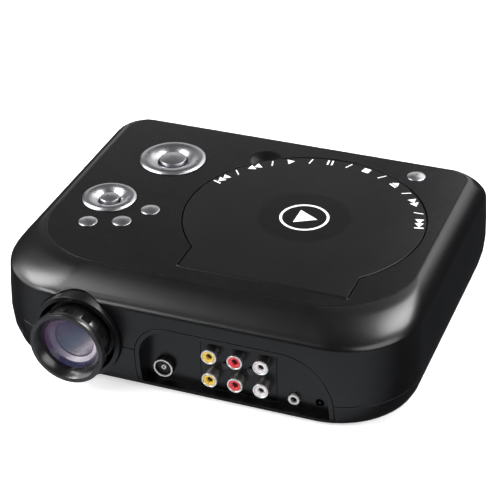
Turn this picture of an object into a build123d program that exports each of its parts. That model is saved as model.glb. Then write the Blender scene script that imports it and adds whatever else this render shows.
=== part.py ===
from build123d import *
import os
from functools import cache
from math import cos, pi, radians, sin, sqrt

# Compact video projector with a disc player under a round lid.
# Millimetres. X runs to the right of someone facing the lens side, Y to the back, Z up.
# The origin is on the surface it stands on, under the centre of the whole outline.

# ---- Housing ----
body_width = 228.0
body_depth = 184.0
shell_height = 57.5
foot_height = 2.5
foot_radius = 7.0
wall = 2.2
seam_gap = 0.3
seat_gap = 0.3
running_gap = 0.05
parting_height = 14.0        # joint between the shells, above the shell's bottom
tongue_height = 24.2         # the lower shell rises to this beside the lens
shoulder_front = 21.0        # deck edge to wall, front
shoulder_side = 10.0
shoulder_back = 5.0
shoulder_drop = 10.5
shoulder_slope = 0.42        # share of the drop that is a straight slope
wall_bulge = 0.9
waist_height = 22.0          # widest level, above the shell's bottom
bottom_inset = 4.8
deck_corner_front = 45.0
deck_corner_back = 12.0
wall_corner_front = 41.0
wall_corner_back = 14.0

# ---- Deck and lid ----
deck_thickness = 3.0
deck_rim = 1.0               # shell edge left visible round the deck plate
ledge_width = 2.6
ledge_thickness = 1.8
lid_center_x = 29.5
lid_center_back = 82.7       # lid centre to the back wall
lid_radius = 65.6
lid_gap = 0.8
lid_front_reach = 67.5       # lid centre to the lid's straight front edge
lid_front_half = 45.9
lid_hinge_pin_radius = 0.8
lid_pin_in_lid = 9.0
lid_pin_in_deck = 5.0
scoop_radius = 10.0
scoop_depth = 2.2
scoop_angle = 128.0
scoop_reach = 67.5
lid_rib_radius = 40.0
lid_rib_width = 1.2
lid_rib_height = 0.9

# ---- Disc well and drive ----
well_radius = 63.5
well_wall = 1.6
well_depth = 5.2             # below the lid's underside gap
well_floor = 1.6
well_lip = 1.8
hub_hole_radius = 14.0
pickup_window_half = 10.0
disc_space = 1.9             # well floor to the disc's underside
turntable_radius = 12.5
turntable_thickness = 1.5
hub_neck_radius = 7.4
hub_neck_height = 2.6
hub_neck_top = 5.9
motor_shaft_radius = 1.0
motor_radius = 12.0
motor_height = 6.5
chassis_thickness = 1.2
chassis_left = 32.0
chassis_right = 77.0
chassis_half_depth = 34.0
damper_radius = 4.0
damper_height = 5.7
damper_inner_x = 26.0
damper_outer_x = 50.0
damper_half_y = 29.0
rod_radius = 1.5
rod_half_pitch = 22.0
rod_start = 8.0
rod_end = 74.0
rod_bracket = 3.0
rod_bracket_half = 2.3
rod_drop = 2.0               # chassis underside to the rod's axis
sled_inner = 24.0            # lens to disc axis at the innermost track
sled_travel = 34.0
sled_front = 11.0
sled_back = 9.5
sled_upper_half = 17.0
sled_height = 10.5
holder_length = 12.0
holder_width = 14.0
holder_height = 2.8
holder_travel = 0.6
holder_gap = 0.8
objective_radius = 2.3
objective_rise = 0.4
gear_module = 0.5
gear_small_teeth = 24
gear_large_teeth = 36
pinion_teeth = 12
gear_width = 2.0
gear_backlash = 0.12
gear_addendum = 0.85
gear_dedendum = 1.2
tooth_root_share = 0.68      # half a tooth at its root, share of its thickness
tooth_tip_share = 0.26
gear_axle_radius = 1.0
gear_offset_x = 36.0         # gear axle to disc axis
rack_bar = 1.3
rack_spare_count = 2         # teeth past the mesh at either limit
feed_motor_radius = 7.0
feed_motor_length = 9.0
shelf_left = 9.0             # shelf's edges to the pinion and the double gear
shelf_right = 8.0
shelf_back = 7.0
shelf_front_margin = 2.0
sled_clearance = 1.0

# ---- Keys ----
ring_tilt_gap = 0.7
menu_ring_x = -62.5
menu_ring_y = 53.2
menu_ring_radius = 19.0
menu_hole_radius = 8.5
volume_ring_x = -78.6
volume_ring_y = 1.3
volume_ring_radius = 15.2
volume_hole_radius = 6.2
ring_clearance = 0.4
ring_flange = 1.5
ring_flange_thickness = 1.0
ring_crest = 1.5
ring_edge_rise = 0.5
ring_crest_share = 0.35      # crest to outer edge, share of the ring's width
button_gap = 0.8
button_rise = 1.2
button_edge_rise = 0.4
key_radius = 5.2
key_flange = 0.9
key_clearance = 0.3
key_stem_radius = 2.5
key_travel = 0.6
first_key = (-78.9, -26.1)
second_key = (-61.8, -19.8)
third_key = (-51.9, -3.9)
power_key = (74.2, 79.1)
gimbal_thickness = 1.2
gimbal_inset = 1.0           # carrier's rim inside the ring's edge
pivot_radius = 0.5           # pins that a carrier and its ring tilt on
pivot_seat = 1.1
pivot_seat_half = 1.2
pivot_end = 0.2
switch_size = 4.6
switch_base = 0.9
switch_stem_radius = 1.1
switch_stem = 0.5
key_board_drop = 6.0         # deck underside to the board
board_thickness = 1.6
board_post_radius = 2.5
post_left_margin = 9.5       # left posts to the large ring's edge
post_right_margin = 4.9
post_front_y = -29.0
power_post_half = 11.0

# ---- Lens ----
lens_x = -59.0
lens_height = 29.5
lens_reach = 15.0            # lens rim ahead of the front wall
collar_radius = 24.1
collar_bore = 21.6
collar_reach = 3.0
collar_flange = 2.4
collar_flange_thickness = 1.6
rim_radius = 20.5
rim_width = 3.6
grip_radius = 18.4
lug_radius = 19.7
lug_count = 12
lug_width = 5.2
lug_length = 5.5
focus_ring_length = 13.5
focus_cone_depth = 4.0
focus_cone_front = 18.3
barrel_radius = 17.0
barrel_wall = 1.8
barrel_length = 43.0
focus_travel = 4.0
sleeve_wall = 2.0
front_glass_thickness = 5.0
front_glass_bulge = 2.2
rear_glass_radius = 12.0
rear_glass_place = 26.0
rear_ring_width = 1.2

# ---- Light engine ----
box_half_width = 21.5
box_half_height = 19.3
box_wall = 1.6
box_front = 35.0             # front wall of the housing to the light box
box_length = 98.0
panel_place = 30.0           # image panel behind the light box's front
panel_thickness = 2.0
fresnel_gap = 6.0
fresnel_thickness = 1.5
condenser_radius = 16.0
condenser_thickness = 6.0
condenser_rim = 1.5
condenser_gap = 8.0          # condenser to the light box's back
condenser_seat = 2.0
lamp_board = 30.0
lamp_board_thickness = 1.6
lamp_dome_radius = 4.0
sink_width = 40.0
sink_height = 38.0
sink_base = 5.0
sink_fin = 1.4
sink_fin_count = 9
fan_size = 40.0
fan_depth = 10.0
fan_gap = 2.0                # heat sink to fan
fan_wall_gap = 9.2           # fan to the back wall
fan_bore = 18.6
fan_hub_radius = 9.5
fan_blade_radius = 17.8
fan_blade_count = 7
fan_blade_thickness = 1.2
fan_blade_pitch = 38.0
fan_cup_depth = 2.0
fan_shaft_radius = 1.0
fan_corner_hole = 1.7
fan_corner_inset = 4.0
fan_spoke_sink = 0.2         # spokes run into the frame by this
fan_blade_sink = 1.0
grille_slot = 2.2
grille_pitch = 4.4
grille_count = 8
grille_height = 27.0
intake_count = 6
intake_length = 24.0

# ---- Connector bay ----
bay_left = -25.1
bay_right = 77.1
bay_top = 37.6               # above the shell's bottom
bay_lip = 3.0
bay_depth = 9.0
bay_floor = 2.0
bay_frame = 2.4
bay_left_round = 15.0
bay_right_round = 26.0
rca_left = 12.2
rca_pitch = 14.0
rca_bottom = 12.5            # lower row, above the shell's bottom
rca_rise = 14.4
rca_radius = 4.15
rca_shell_wall = 0.55
rca_reach = 6.2
rca_hole_radius = 1.65
rca_insert_back = 0.4
rca_insert_floor = 1.0
block_margin = 6.6
block_depth = 12.0
small_screw_radius = 1.0
small_screw_head = 2.0
small_screw_head_height = 1.2
bay_screw_length = 8.0
tuner_x = -14.5
tuner_rise = 12.0
tuner_radius = 5.2
tuner_wall = 0.7
tuner_reach = 3.5
tuner_can_half = 9.0
tuner_can_depth = 13.0
tuner_contact_radius = 1.2
tuner_contact_bore = 0.6
tuner_contact_back = 1.0
tuner_disc = 1.5
phone_x = 56.6
phone_rise = 8.4
phone_bush_radius = 3.0
phone_bore_radius = 1.8
phone_bush_reach = 1.0
phone_body_half = 4.5
phone_bore_length = 9.0
phone_depth = 12.0
power_in_x = 70.0
power_in_rise = 8.7
power_in_radius = 2.3
power_pin_radius = 0.65
power_in_depth = 12.0
power_in_half = 4.5

# ---- Main board and the rest ----
standoff_height = 1.2
standoff_radius = 3.0
main_board_left = -32.0
main_board_right = 77.0
main_board_back = 90.0
main_board_front_gap = 0.7
standoff_inset = 6.0
usb_x = 2.0
usb_width = 13.1
usb_height = 5.8
usb_depth = 14.0
usb_shell = 0.4
usb_tongue = 1.8
usb_tongue_gap = 0.7
usb_tongue_back = 1.0
card_x = 40.0
card_width = 27.0
card_height = 3.0
card_depth = 22.0
card_slot_width = 24.6
card_slot_height = 1.6
rear_socket_inset = 4.0
rear_socket_floor = 2.0
chip_size = 18.0
chip_height = 1.6
chip_pitch = 25.2
small_chip_size = 10.8
board_row_back = 40.0        # capacitors and coils behind the bay
capacitor_radius = 4.0
capacitor_height = 11.0
capacitor_pitch = 10.0
capacitor_count = 4
coil_size = 10.0
coil_height = 5.0
coil_pitch = 15.0
coil_count = 2
speaker_x = 91.5
speaker_y = 6.0
speaker_radius = 13.0
speaker_height = 8.0
speaker_magnet_radius = 8.0
boss_radius = 4.6
boss_x = 94.0
boss_front = 36.0            # front wall to the front bosses
boss_back = 16.0             # back wall to the back bosses
boss_split = 27.5            # above the shell's bottom
screw_radius = 1.5
screw_head_radius = 2.8
screw_head_height = 2.0
screw_head_recess = 3.0
screw_gap = 0.2
screw_reach = 34.0
foot_x = 84.0
foot_front = 34.0
foot_back = 20.0

# ---- Levels worked out from the sizes above ----
base_z = foot_height
deck_z = base_z + shell_height
deck_under = deck_z - deck_thickness
inside_z = base_z + wall
back_y = (body_depth + lens_reach) / 2
front_y = back_y - body_depth
lid_y = back_y - lid_center_back
hinge_radius = deck_thickness / 2
hinge_y = lid_y - lid_front_reach + hinge_radius
hinge_z = deck_z - hinge_radius
lens_z = lens_height
parting_z = base_z + parting_height
tongue_z = base_z + tongue_height
bay_back = front_y + bay_depth
bay_behind = bay_back + bay_floor
board_z = inside_z + standoff_height
board_top = board_z + board_thickness
well_top = deck_under - seat_gap
well_floor_top = well_top - well_depth
well_floor_under = well_floor_top - well_floor
chassis_top = well_floor_under - damper_height
chassis_under = chassis_top - chassis_thickness
turntable_z = well_floor_top + disc_space
rod_z = chassis_under - rod_drop
sled_x = lid_center_x + sled_inner
gear_small_pitch = gear_module * gear_small_teeth / 2
gear_large_pitch = gear_module * gear_large_teeth / 2
pinion_pitch = gear_module * pinion_teeth / 2
rack_y = lid_y - rod_half_pitch - rod_bracket_half - seat_gap - rack_bar - gear_dedendum * gear_module
gear_x = lid_center_x + gear_offset_x
gear_y = rack_y - gear_small_pitch
pinion_x = gear_x - gear_large_pitch - pinion_pitch
rack_z = rod_z - rod_radius - wall / 2
large_gear_z = rack_z - seat_gap * 2 - gear_width
shelf_top = large_gear_z - seat_gap
key_board_top = deck_under - key_board_drop
switch_top = key_board_top + switch_base + switch_stem
gimbal_z = switch_top + key_travel
ring_z = gimbal_z + gimbal_thickness + ring_tilt_gap
pivot_z = gimbal_z + gimbal_thickness / 2
box_front_y = front_y + box_front
box_back_y = box_front_y + box_length
box_under = lens_z - box_half_height
fan_y = back_y - wall - fan_wall_gap - fan_depth
sink_back_y = fan_y - fan_gap
rim_y = front_y - lens_reach
barrel_front = rim_y + focus_cone_depth + seat_gap
collar_y = front_y - collar_reach
sleeve_front = rim_y + focus_ring_length + focus_travel + seat_gap
boss_places = [(side * boss_x, y) for side in (-1, 1) for y in (front_y + boss_front, back_y - boss_back)]
foot_places = [(side * foot_x, y) for side in (-1, 1) for y in (front_y + foot_front, back_y - foot_back)]
rca_columns = [rca_left + step * rca_pitch for step in range(3)]
rca_rows = [base_z + rca_bottom, base_z + rca_bottom + rca_rise]
far = body_width * 2


# ---- Shared shapes ----
def block(x0, x1, y0, y1, z0, z1):
    """A box between two corners."""
    return Pos((x0 + x1) / 2, (y0 + y1) / 2, (z0 + z1) / 2) * Box(x1 - x0, y1 - y0, z1 - z0)


def post(x, y, radius, z0, z1):
    """An upright cylinder."""
    return Pos(x, y, (z0 + z1) / 2) * Cylinder(radius, z1 - z0)


def bar_y(x, z, radius, y0, y1):
    """A cylinder along Y."""
    return Pos(x, (y0 + y1) / 2, z) * Rot(90, 0, 0) * Cylinder(radius, y1 - y0)


def bar_x(y, z, radius, x0, x1):
    """A cylinder along X."""
    return Pos((x0 + x1) / 2, y, z) * Rot(0, 90, 0) * Cylinder(radius, x1 - x0)


def dome(radius, edge, top):
    """The crown of a ball's cap for turned(): its apex on the axis and the arc's midpoint."""
    rise = top - edge
    ball = (radius ** 2 + rise ** 2) / (2 * rise)
    low = top - ball
    middle = sqrt((1 + (edge - low) / ball) / 2)
    return 0, top, ball * sqrt(1 - middle ** 2), low + ball * middle


def turned(points, x, y):
    """A solid turned about an upright axis from (radius, height) points; a triple is an arc's end."""
    lines = []
    for start, end in zip(points, points[1:] + points[:1]):
        if len(end) == 4:
            lines.append(ThreePointArc((start[0], 0, start[1]), (end[2], 0, end[3]), (end[0], 0, end[1])))
        else:
            lines.append(Line((start[0], 0, start[1]), (end[0], 0, end[1])))
    return Pos(x, y, 0) * revolve(make_face(Wire(lines)), axis=Axis.Z)


def group(solids):
    """Separate solids kept in one node."""
    return Compound(children=[Solid(piece.solids()[0].wrapped) for piece in solids])


# ---- Housing outline ----
def outline(side, front, back, front_round, back_round, z):
    """The body's plan at one height, inset from its widest size."""
    x1 = body_width / 2 - side
    y0 = front_y + front
    y1 = back_y - back
    corners = (
        (x1 - back_round, y1 - back_round, back_round, 0),
        (-x1 + back_round, y1 - back_round, back_round, 90),
        (-x1 + front_round, y0 + front_round, front_round, 180),
        (x1 - front_round, y0 + front_round, front_round, 270),
    )
    arcs = [CenterArc((x, y, z), radius, start, 90) for x, y, radius, start in corners]
    edges = []
    for arc, following in zip(arcs, arcs[1:] + arcs[:1]):
        edges += [arc, Line(arc @ 1, following @ 0)]
    return make_face(Wire(edges))


def level(k, extra, z, inset=0.0):
    """The plan where the shoulder is k of the way out and the wall stands in by extra."""
    front_round = deck_corner_front + (wall_corner_front - deck_corner_front) * k
    back_round = deck_corner_back + (wall_corner_back - deck_corner_back) * k
    return outline(
        shoulder_side * (1 - k) + extra + inset,
        shoulder_front * (1 - k) + extra + inset,
        shoulder_back * (1 - k) + extra + inset,
        front_round - inset,
        back_round - inset,
        z,
    )


def profile():
    """(k, extra, z) of the outer skin, from the deck's edge down to the bottom."""
    rows = []
    for degrees in (0, 18, 36, 52, 66, 78, 90):
        turn = radians(degrees)
        fall = shoulder_slope * sin(turn) + (1 - shoulder_slope) * (1 - cos(turn))
        rows.append((sin(turn), wall_bulge, deck_z - shoulder_drop * fall))
    waist = base_z + waist_height
    rows.append((1, wall_bulge * 0.3, (deck_z - shoulder_drop + waist) / 2))
    for degrees in (0, 22, 44, 62):
        turn = radians(degrees)
        last = radians(62)
        curl = (1 - cos(turn)) / (1 - cos(last))
        rows.append((1, bottom_inset * curl, waist - waist_height * sin(turn) / sin(last)))
    return rows


@cache
def skin():
    """The whole body's outside as one solid."""
    return loft([level(k, extra, z) for k, extra, z in profile()], ruled=True)


@cache
def cavity():
    """The space inside the shells: the outside moved in by the wall on every side."""
    squeeze = (shell_height - 2 * wall) / shell_height
    rows = [(k, extra, inside_z + (z - base_z) * squeeze) for k, extra, z in profile()]
    inner = loft([level(k, extra, z, wall) for k, extra, z in rows], ruled=True)
    return inner & block(-far, far, -far, far, 0, deck_under - ledge_thickness)


@cache
def case_wall():
    """The shell of the whole case before it is divided."""
    return skin() - cavity()


def deck_plan(inset, z0, z1):
    """A slab with the deck's outline."""
    return extrude(level(0, wall_bulge, z0, inset), z1 - z0)


def lid_plan(grow, z0, z1):
    """A slab with the lid's outline: a disc with a squared front."""
    disc = post(lid_center_x, lid_y, lid_radius + grow, z0, z1)
    half = lid_front_half + grow
    front = lid_y - lid_front_reach - grow
    return disc + block(lid_center_x - half, lid_center_x + half, front, lid_y, z0, z1)


def bay_plan(grow, y0, y1, lip):
    """The connector bay's arched outline as a solid along Y, rising from the lip."""
    left = bay_left - grow
    right = bay_right + grow
    bottom = base_z + lip - (grow if lip == 0 else 0)
    top = base_z + bay_top + grow
    left_round = bay_left_round + grow
    right_round = bay_right_round + grow
    left_arc = CenterArc((left + left_round, top - left_round, 0), left_round, 90, 90)
    right_arc = CenterArc((right - right_round, top - right_round, 0), right_round, 0, 90)
    edges = [
        right_arc,
        Line(right_arc @ 1, left_arc @ 0),
        left_arc,
        Line(left_arc @ 1, (left, bottom, 0)),
        Line((left, bottom, 0), (right, bottom, 0)),
        Line((right, bottom, 0), right_arc @ 0),
    ]
    return Pos(0, y1, 0) * Rot(90, 0, 0) * extrude(make_face(Wire(edges)), y1 - y0)


def lower_zone(gap):
    """Where the lower shell stands: up to the parting line, and higher beside the lens."""
    tongue_end = bay_left - bay_frame
    band = block(-far, far, -far, far, 0, parting_z + gap)
    return band + block(-boss_x - gap, tongue_end, -far, front_y + boss_front / 2, 0, tongue_z + gap)


# ---- Shell pieces ----
def rear_cuts():
    """Openings in the back wall for the two sockets on the main board."""
    y0 = back_y - rear_socket_inset * 2
    usb_half = usb_width / 2 + seat_gap
    card_half = card_width / 2 + seat_gap
    usb_z = board_top + usb_height + seat_gap
    card_z = board_top + card_height + seat_gap
    usb = block(usb_x - usb_half, usb_x + usb_half, y0, far, board_top, usb_z)
    card = block(card_x - card_half, card_x + card_half, y0, far, board_top, card_z)
    return [usb, card]


def lower_shell():
    """Bottom half of the case with its screw bosses, board standoffs and engine rests."""
    shell = case_wall() & lower_zone(0)
    shell -= bay_plan(bay_frame + seam_gap, -far, bay_behind + seam_gap, 0)
    shell -= bar_y(lens_x, lens_z, collar_radius + seam_gap, -far, front_y + box_front / 2)
    split = base_z + boss_split
    bosses = [post(x, y, boss_radius, inside_z, split) for x, y in boss_places]
    standoffs = [post(x, y, standoff_radius, inside_z, board_z) for x, y in standoff_places()]
    x0 = lens_x - box_half_width
    x1 = lens_x + box_half_width
    rests = [
        block(x0, x1, box_front_y + wall, box_front_y + 2 * wall, inside_z, box_under),
        block(x0, x1, box_back_y - 2 * wall, box_back_y - wall, inside_z, box_under),
        block(x0, x1, sink_back_y - 2 * wall, sink_back_y - wall, inside_z, lens_z - sink_height / 2),
        block(x0, x1, fan_y + wall, fan_y + 2 * wall, inside_z, lens_z - fan_size / 2),
    ]
    shell += bosses + standoffs + rests
    bores = [post(x, y, screw_radius + screw_gap, 0, split) for x, y in boss_places]
    recess_z = base_z + screw_head_recess
    heads = [post(x, y, screw_head_radius + screw_gap, 0, recess_z) for x, y in boss_places]
    intake_y = (box_back_y + sink_back_y) / 2
    slots = []
    for step in range(intake_count):
        x = lens_x + (step - (intake_count - 1) / 2) * grille_pitch
        slots.append(block(x, x + grille_slot, intake_y - intake_length / 2, intake_y + wall, 0, inside_z))
    for step in range(-2, 3):
        x = speaker_x + step * grille_pitch
        reach = sqrt(speaker_magnet_radius ** 2 - (step * grille_pitch / 2) ** 2)
        half = grille_slot / 2
        slots.append(block(x - half, x + half, speaker_y - reach, speaker_y + reach, 0, inside_z))
    return shell - bores - heads - slots - rear_cuts()


def upper_shell():
    """Top half of the case: shoulder, walls, the ledge that carries the deck, and screw posts."""
    shell = case_wall() - lower_zone(seam_gap)
    shell -= deck_plan(deck_rim, deck_under, deck_z + 1)
    shell -= deck_plan(deck_rim + ledge_width, base_z, deck_z)
    shell -= bay_plan(bay_frame + seam_gap, -far, bay_behind + seam_gap, 0)
    posts = [post(x, y, boss_radius, base_z + boss_split, deck_under) for x, y in boss_places]
    shell += (Part() + posts) & skin()
    shell -= bar_y(lens_x, lens_z, collar_radius + seam_gap, -far, front_y + box_front / 2)
    pilot_z = base_z + screw_head_recess + screw_reach
    pilots = [post(x, y, screw_radius, 0, pilot_z) for x, y in boss_places]
    slots = []
    for step in range(grille_count):
        x = lens_x + (step - (grille_count - 1) / 2) * grille_pitch
        half = grille_slot / 2
        high = grille_height / 2
        slots.append(block(x - half, x + half, back_y - 3 * wall, far, lens_z - high, lens_z + high))
    return shell - pilots - slots


def key_places():
    """Round keys on the deck, the power key last."""
    return [first_key, second_key, third_key, power_key]


def key_board_posts():
    """Posts under the deck that carry the key boards."""
    left = menu_ring_x - menu_ring_radius - post_left_margin
    right = third_key[0] + post_right_margin
    top = menu_ring_y + menu_ring_radius
    middle = menu_ring_y / 2
    return [(left, top), (left, middle), (right, middle), (left, post_front_y), (right + 1, post_front_y)]


def power_board_posts():
    """Posts under the deck at either side of the power key."""
    x, y = power_key
    return [(x - power_post_half, y), (x + power_post_half, y)]


def top_panel():
    """Flat deck plate with the lid's opening, the finger scoop and the key holes."""
    plate = deck_plan(deck_rim + seam_gap / 2, deck_under, deck_z)
    posts = key_board_posts() + power_board_posts()
    plate += [post(x, y, board_post_radius, key_board_top, deck_under) for x, y in posts]
    ball = (scoop_radius ** 2 + scoop_depth ** 2) / (2 * scoop_depth)
    turn = radians(scoop_angle)
    scoop_x = lid_center_x + scoop_reach * cos(turn)
    scoop_y = lid_y + scoop_reach * sin(turn)
    cuts = [
        lid_plan(lid_gap, deck_under, deck_z),
        Pos(scoop_x, scoop_y, deck_z + ball - scoop_depth) * Sphere(ball),
        post(menu_ring_x, menu_ring_y, menu_ring_radius + ring_clearance, deck_under, deck_z),
        post(volume_ring_x, volume_ring_y, volume_ring_radius + ring_clearance, deck_under, deck_z),
    ]
    cuts += [post(x, y, key_radius + key_clearance, deck_under, deck_z) for x, y in key_places()]
    edge = lid_front_half + lid_pin_in_deck
    cuts.append(bar_x(hinge_y, hinge_z, lid_hinge_pin_radius, lid_center_x - edge, lid_center_x + edge))
    return plate - cuts


def disc_well():
    """Round tray under the lid with its hub hole and pickup window."""
    flange = lid_plan(lid_gap + well_lip, well_top - well_wall, deck_under)
    flange -= lid_plan(lid_gap, well_top, deck_under)
    cup = post(lid_center_x, lid_y, well_radius + well_wall, well_floor_under, well_top - well_wall)
    hollow = post(lid_center_x, lid_y, well_radius, well_floor_top, deck_under)
    hub = post(lid_center_x, lid_y, hub_hole_radius, well_floor_under, well_floor_top)
    window_y0 = lid_y - pickup_window_half
    window_y1 = lid_y + pickup_window_half
    end = sled_x + sled_travel + holder_length / 2 + seat_gap
    window = block(lid_center_x, end, window_y0, window_y1, well_floor_under, well_floor_top)
    screws = [post(x, y, small_screw_radius, 0, far) for x, y in damper_places()]
    return flange + cup - [hollow, hub, window] - screws


def hinge_pins():
    """Two steel pins that join the lid's front edge to the deck."""
    inner = lid_front_half - lid_pin_in_lid
    outer = lid_front_half + lid_pin_in_deck
    spans = [(lid_center_x - outer, lid_center_x - inner), (lid_center_x + inner, lid_center_x + outer)]
    return group([bar_x(hinge_y, hinge_z, lid_hinge_pin_radius, x0, x1) for x0, x1 in spans])


def disc_lid():
    """Round lid whose squared front edge is rolled over the hinge pins."""
    plate = lid_plan(0, deck_under, deck_z)
    front = lid_y - lid_front_reach
    left = lid_center_x - lid_front_half
    right = lid_center_x + lid_front_half
    plate -= block(left, right, front, hinge_y, deck_under, deck_z)
    disc = post(lid_center_x, lid_y, lid_radius, deck_under, deck_z)
    plate -= disc & block(-far, far, -far, hinge_y, 0, far)
    plate += bar_x(hinge_y, hinge_z, hinge_radius, left, right)
    rib = post(lid_center_x, lid_y, lid_rib_radius, deck_under - lid_rib_height, deck_under)
    rib -= post(lid_center_x, lid_y, lid_rib_radius - lid_rib_width, 0, deck_under)
    bore = lid_hinge_pin_radius + running_gap
    depth = lid_pin_in_lid + seat_gap
    bores = [
        bar_x(hinge_y, hinge_z, bore, left, left + depth),
        bar_x(hinge_y, hinge_z, bore, right - depth, right),
    ]
    return plate + rib - bores


def rubber_feet():
    """Four round feet."""
    return group([post(x, y, foot_radius, 0, base_z) for x, y in foot_places])


def case_screws():
    """Four screws that hold the shells together from below."""
    head_z = base_z + screw_head_recess
    screws = []
    for x, y in boss_places:
        head = post(x, y, screw_head_radius, head_z - screw_head_height, head_z)
        screws.append(head + post(x, y, screw_radius, head_z, head_z + screw_reach))
    return group(screws)


# ---- Keys ----
def pivot_reach(radius):
    """Ring's centre to the near and far ends of a pivot pin's seat."""
    near = radius - gimbal_inset + seat_gap
    return near, near + pivot_seat


def side_seats(x, y, radius, z0, z1):
    """Half-round seats for the two pins along X."""
    near, end = pivot_reach(radius)
    y0 = y - pivot_seat_half
    y1 = y + pivot_seat_half
    seats = [block(x - end, x - near, y0, y1, z0, z1), block(x + near, x + end, y0, y1, z0, z1)]
    notch = bar_x(y, pivot_z, pivot_radius + running_gap, x - end, x + end)
    return [seat - notch for seat in seats]


def front_seats(x, y, radius, z0, z1):
    """Half-round seats for the two pins along Y."""
    near, end = pivot_reach(radius)
    x0 = x - pivot_seat_half
    x1 = x + pivot_seat_half
    seats = [block(x0, x1, y - end, y - near, z0, z1), block(x0, x1, y + near, y + end, z0, z1)]
    notch = bar_y(x, pivot_z, pivot_radius + running_gap, y - end, y + end)
    return [seat - notch for seat in seats]


def rocker_ring(x, y, radius, hole):
    """Dished four-way ring, held under the deck by its flange and seated on its carrier's side pins."""
    flange_top = ring_z + ring_flange_thickness
    crest = radius - (radius - hole) * ring_crest_share
    points = [
        (hole, ring_z),
        (radius + ring_flange, ring_z),
        (radius + ring_flange, flange_top),
        (radius, flange_top),
        (radius, deck_z + ring_edge_rise),
        (hole, deck_z + ring_edge_rise, crest, deck_z + ring_crest),
    ]
    return turned(points, x, y) + side_seats(x, y, radius, pivot_z, flange_top)


def ring_gimbal(x, y, radius, hole):
    """White carrier that tilts on its front and back pins and holds the ring on its side pins."""
    reach = pivot_reach(radius)[1] + pivot_end
    plate = post(x, y, radius - gimbal_inset, gimbal_z, gimbal_z + gimbal_thickness)
    plate += bar_x(y, pivot_z, pivot_radius, x - reach, x + reach)
    plate += bar_y(x, pivot_z, pivot_radius, y - reach, y + reach)
    return plate - post(x, y, hole, gimbal_z, gimbal_z + gimbal_thickness)


def center_button(x, y, hole):
    """Domed button in the middle of a ring."""
    radius = hole - button_gap
    foot = switch_top + key_travel + seat_gap / 2
    points = [
        (0, foot),
        (key_stem_radius, foot),
        (key_stem_radius, ring_z),
        (radius, ring_z),
        (radius, deck_z + button_edge_rise),
        dome(radius, deck_z + button_edge_rise, deck_z + button_rise),
    ]
    return turned(points, x, y)


def round_key(place):
    """Small domed key with a flange under the deck and a stem to its switch."""
    foot = switch_top + key_travel + seat_gap / 2
    flange_top = deck_under - seat_gap
    flange_z = flange_top - ring_flange_thickness
    wide = key_radius + key_flange
    points = [
        (0, foot),
        (key_stem_radius, foot),
        (key_stem_radius, flange_z),
        (wide, flange_z),
        (wide, flange_top),
        (key_radius, flange_top),
        (key_radius, deck_z + button_edge_rise),
        dome(key_radius, deck_z + button_edge_rise, deck_z + button_rise),
    ]
    return turned(points, place[0], place[1])


def board_with_posts(posts, grow, top, thickness):
    """A rectangular board that covers a set of posts."""
    xs = [x for x, y in posts]
    ys = [y for x, y in posts]
    return block(min(xs) - grow, max(xs) + grow, min(ys) - grow, max(ys) + grow, top - thickness, top)


def key_board():
    """Boards that carry the key switches and the seats of the ring carriers."""
    grow = board_post_radius + 1
    board = board_with_posts(key_board_posts(), grow, key_board_top, board_thickness)
    base = key_board_top - board_thickness
    board += front_seats(menu_ring_x, menu_ring_y, menu_ring_radius, base, pivot_z)
    board += front_seats(volume_ring_x, volume_ring_y, volume_ring_radius, base, pivot_z)
    return group([board, board_with_posts(power_board_posts(), grow, key_board_top, board_thickness)])


def key_switches():
    """Push switches: four under each ring, one under each button and key."""
    places = [(menu_ring_x, menu_ring_y), (volume_ring_x, volume_ring_y)] + key_places()
    for x, y, radius, hole in (
        (menu_ring_x, menu_ring_y, menu_ring_radius, menu_hole_radius),
        (volume_ring_x, volume_ring_y, volume_ring_radius, volume_hole_radius),
    ):
        reach = (radius + hole) / 2
        places += [(x + reach, y), (x - reach, y), (x, y + reach), (x, y - reach)]
    half = switch_size / 2
    switches = []
    for x, y in places:
        base = block(x - half, x + half, y - half, y + half, key_board_top, key_board_top + switch_base)
        switches.append(base + post(x, y, switch_stem_radius, key_board_top + switch_base, switch_top))
    return group(switches)


# ---- Disc drive ----
def damper_places():
    """Where the drive chassis hangs from the well."""
    xs = (lid_center_x - damper_inner_x, lid_center_x + damper_outer_x)
    return [(x, lid_y + side * damper_half_y) for x in xs for side in (-1, 1)]


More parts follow.
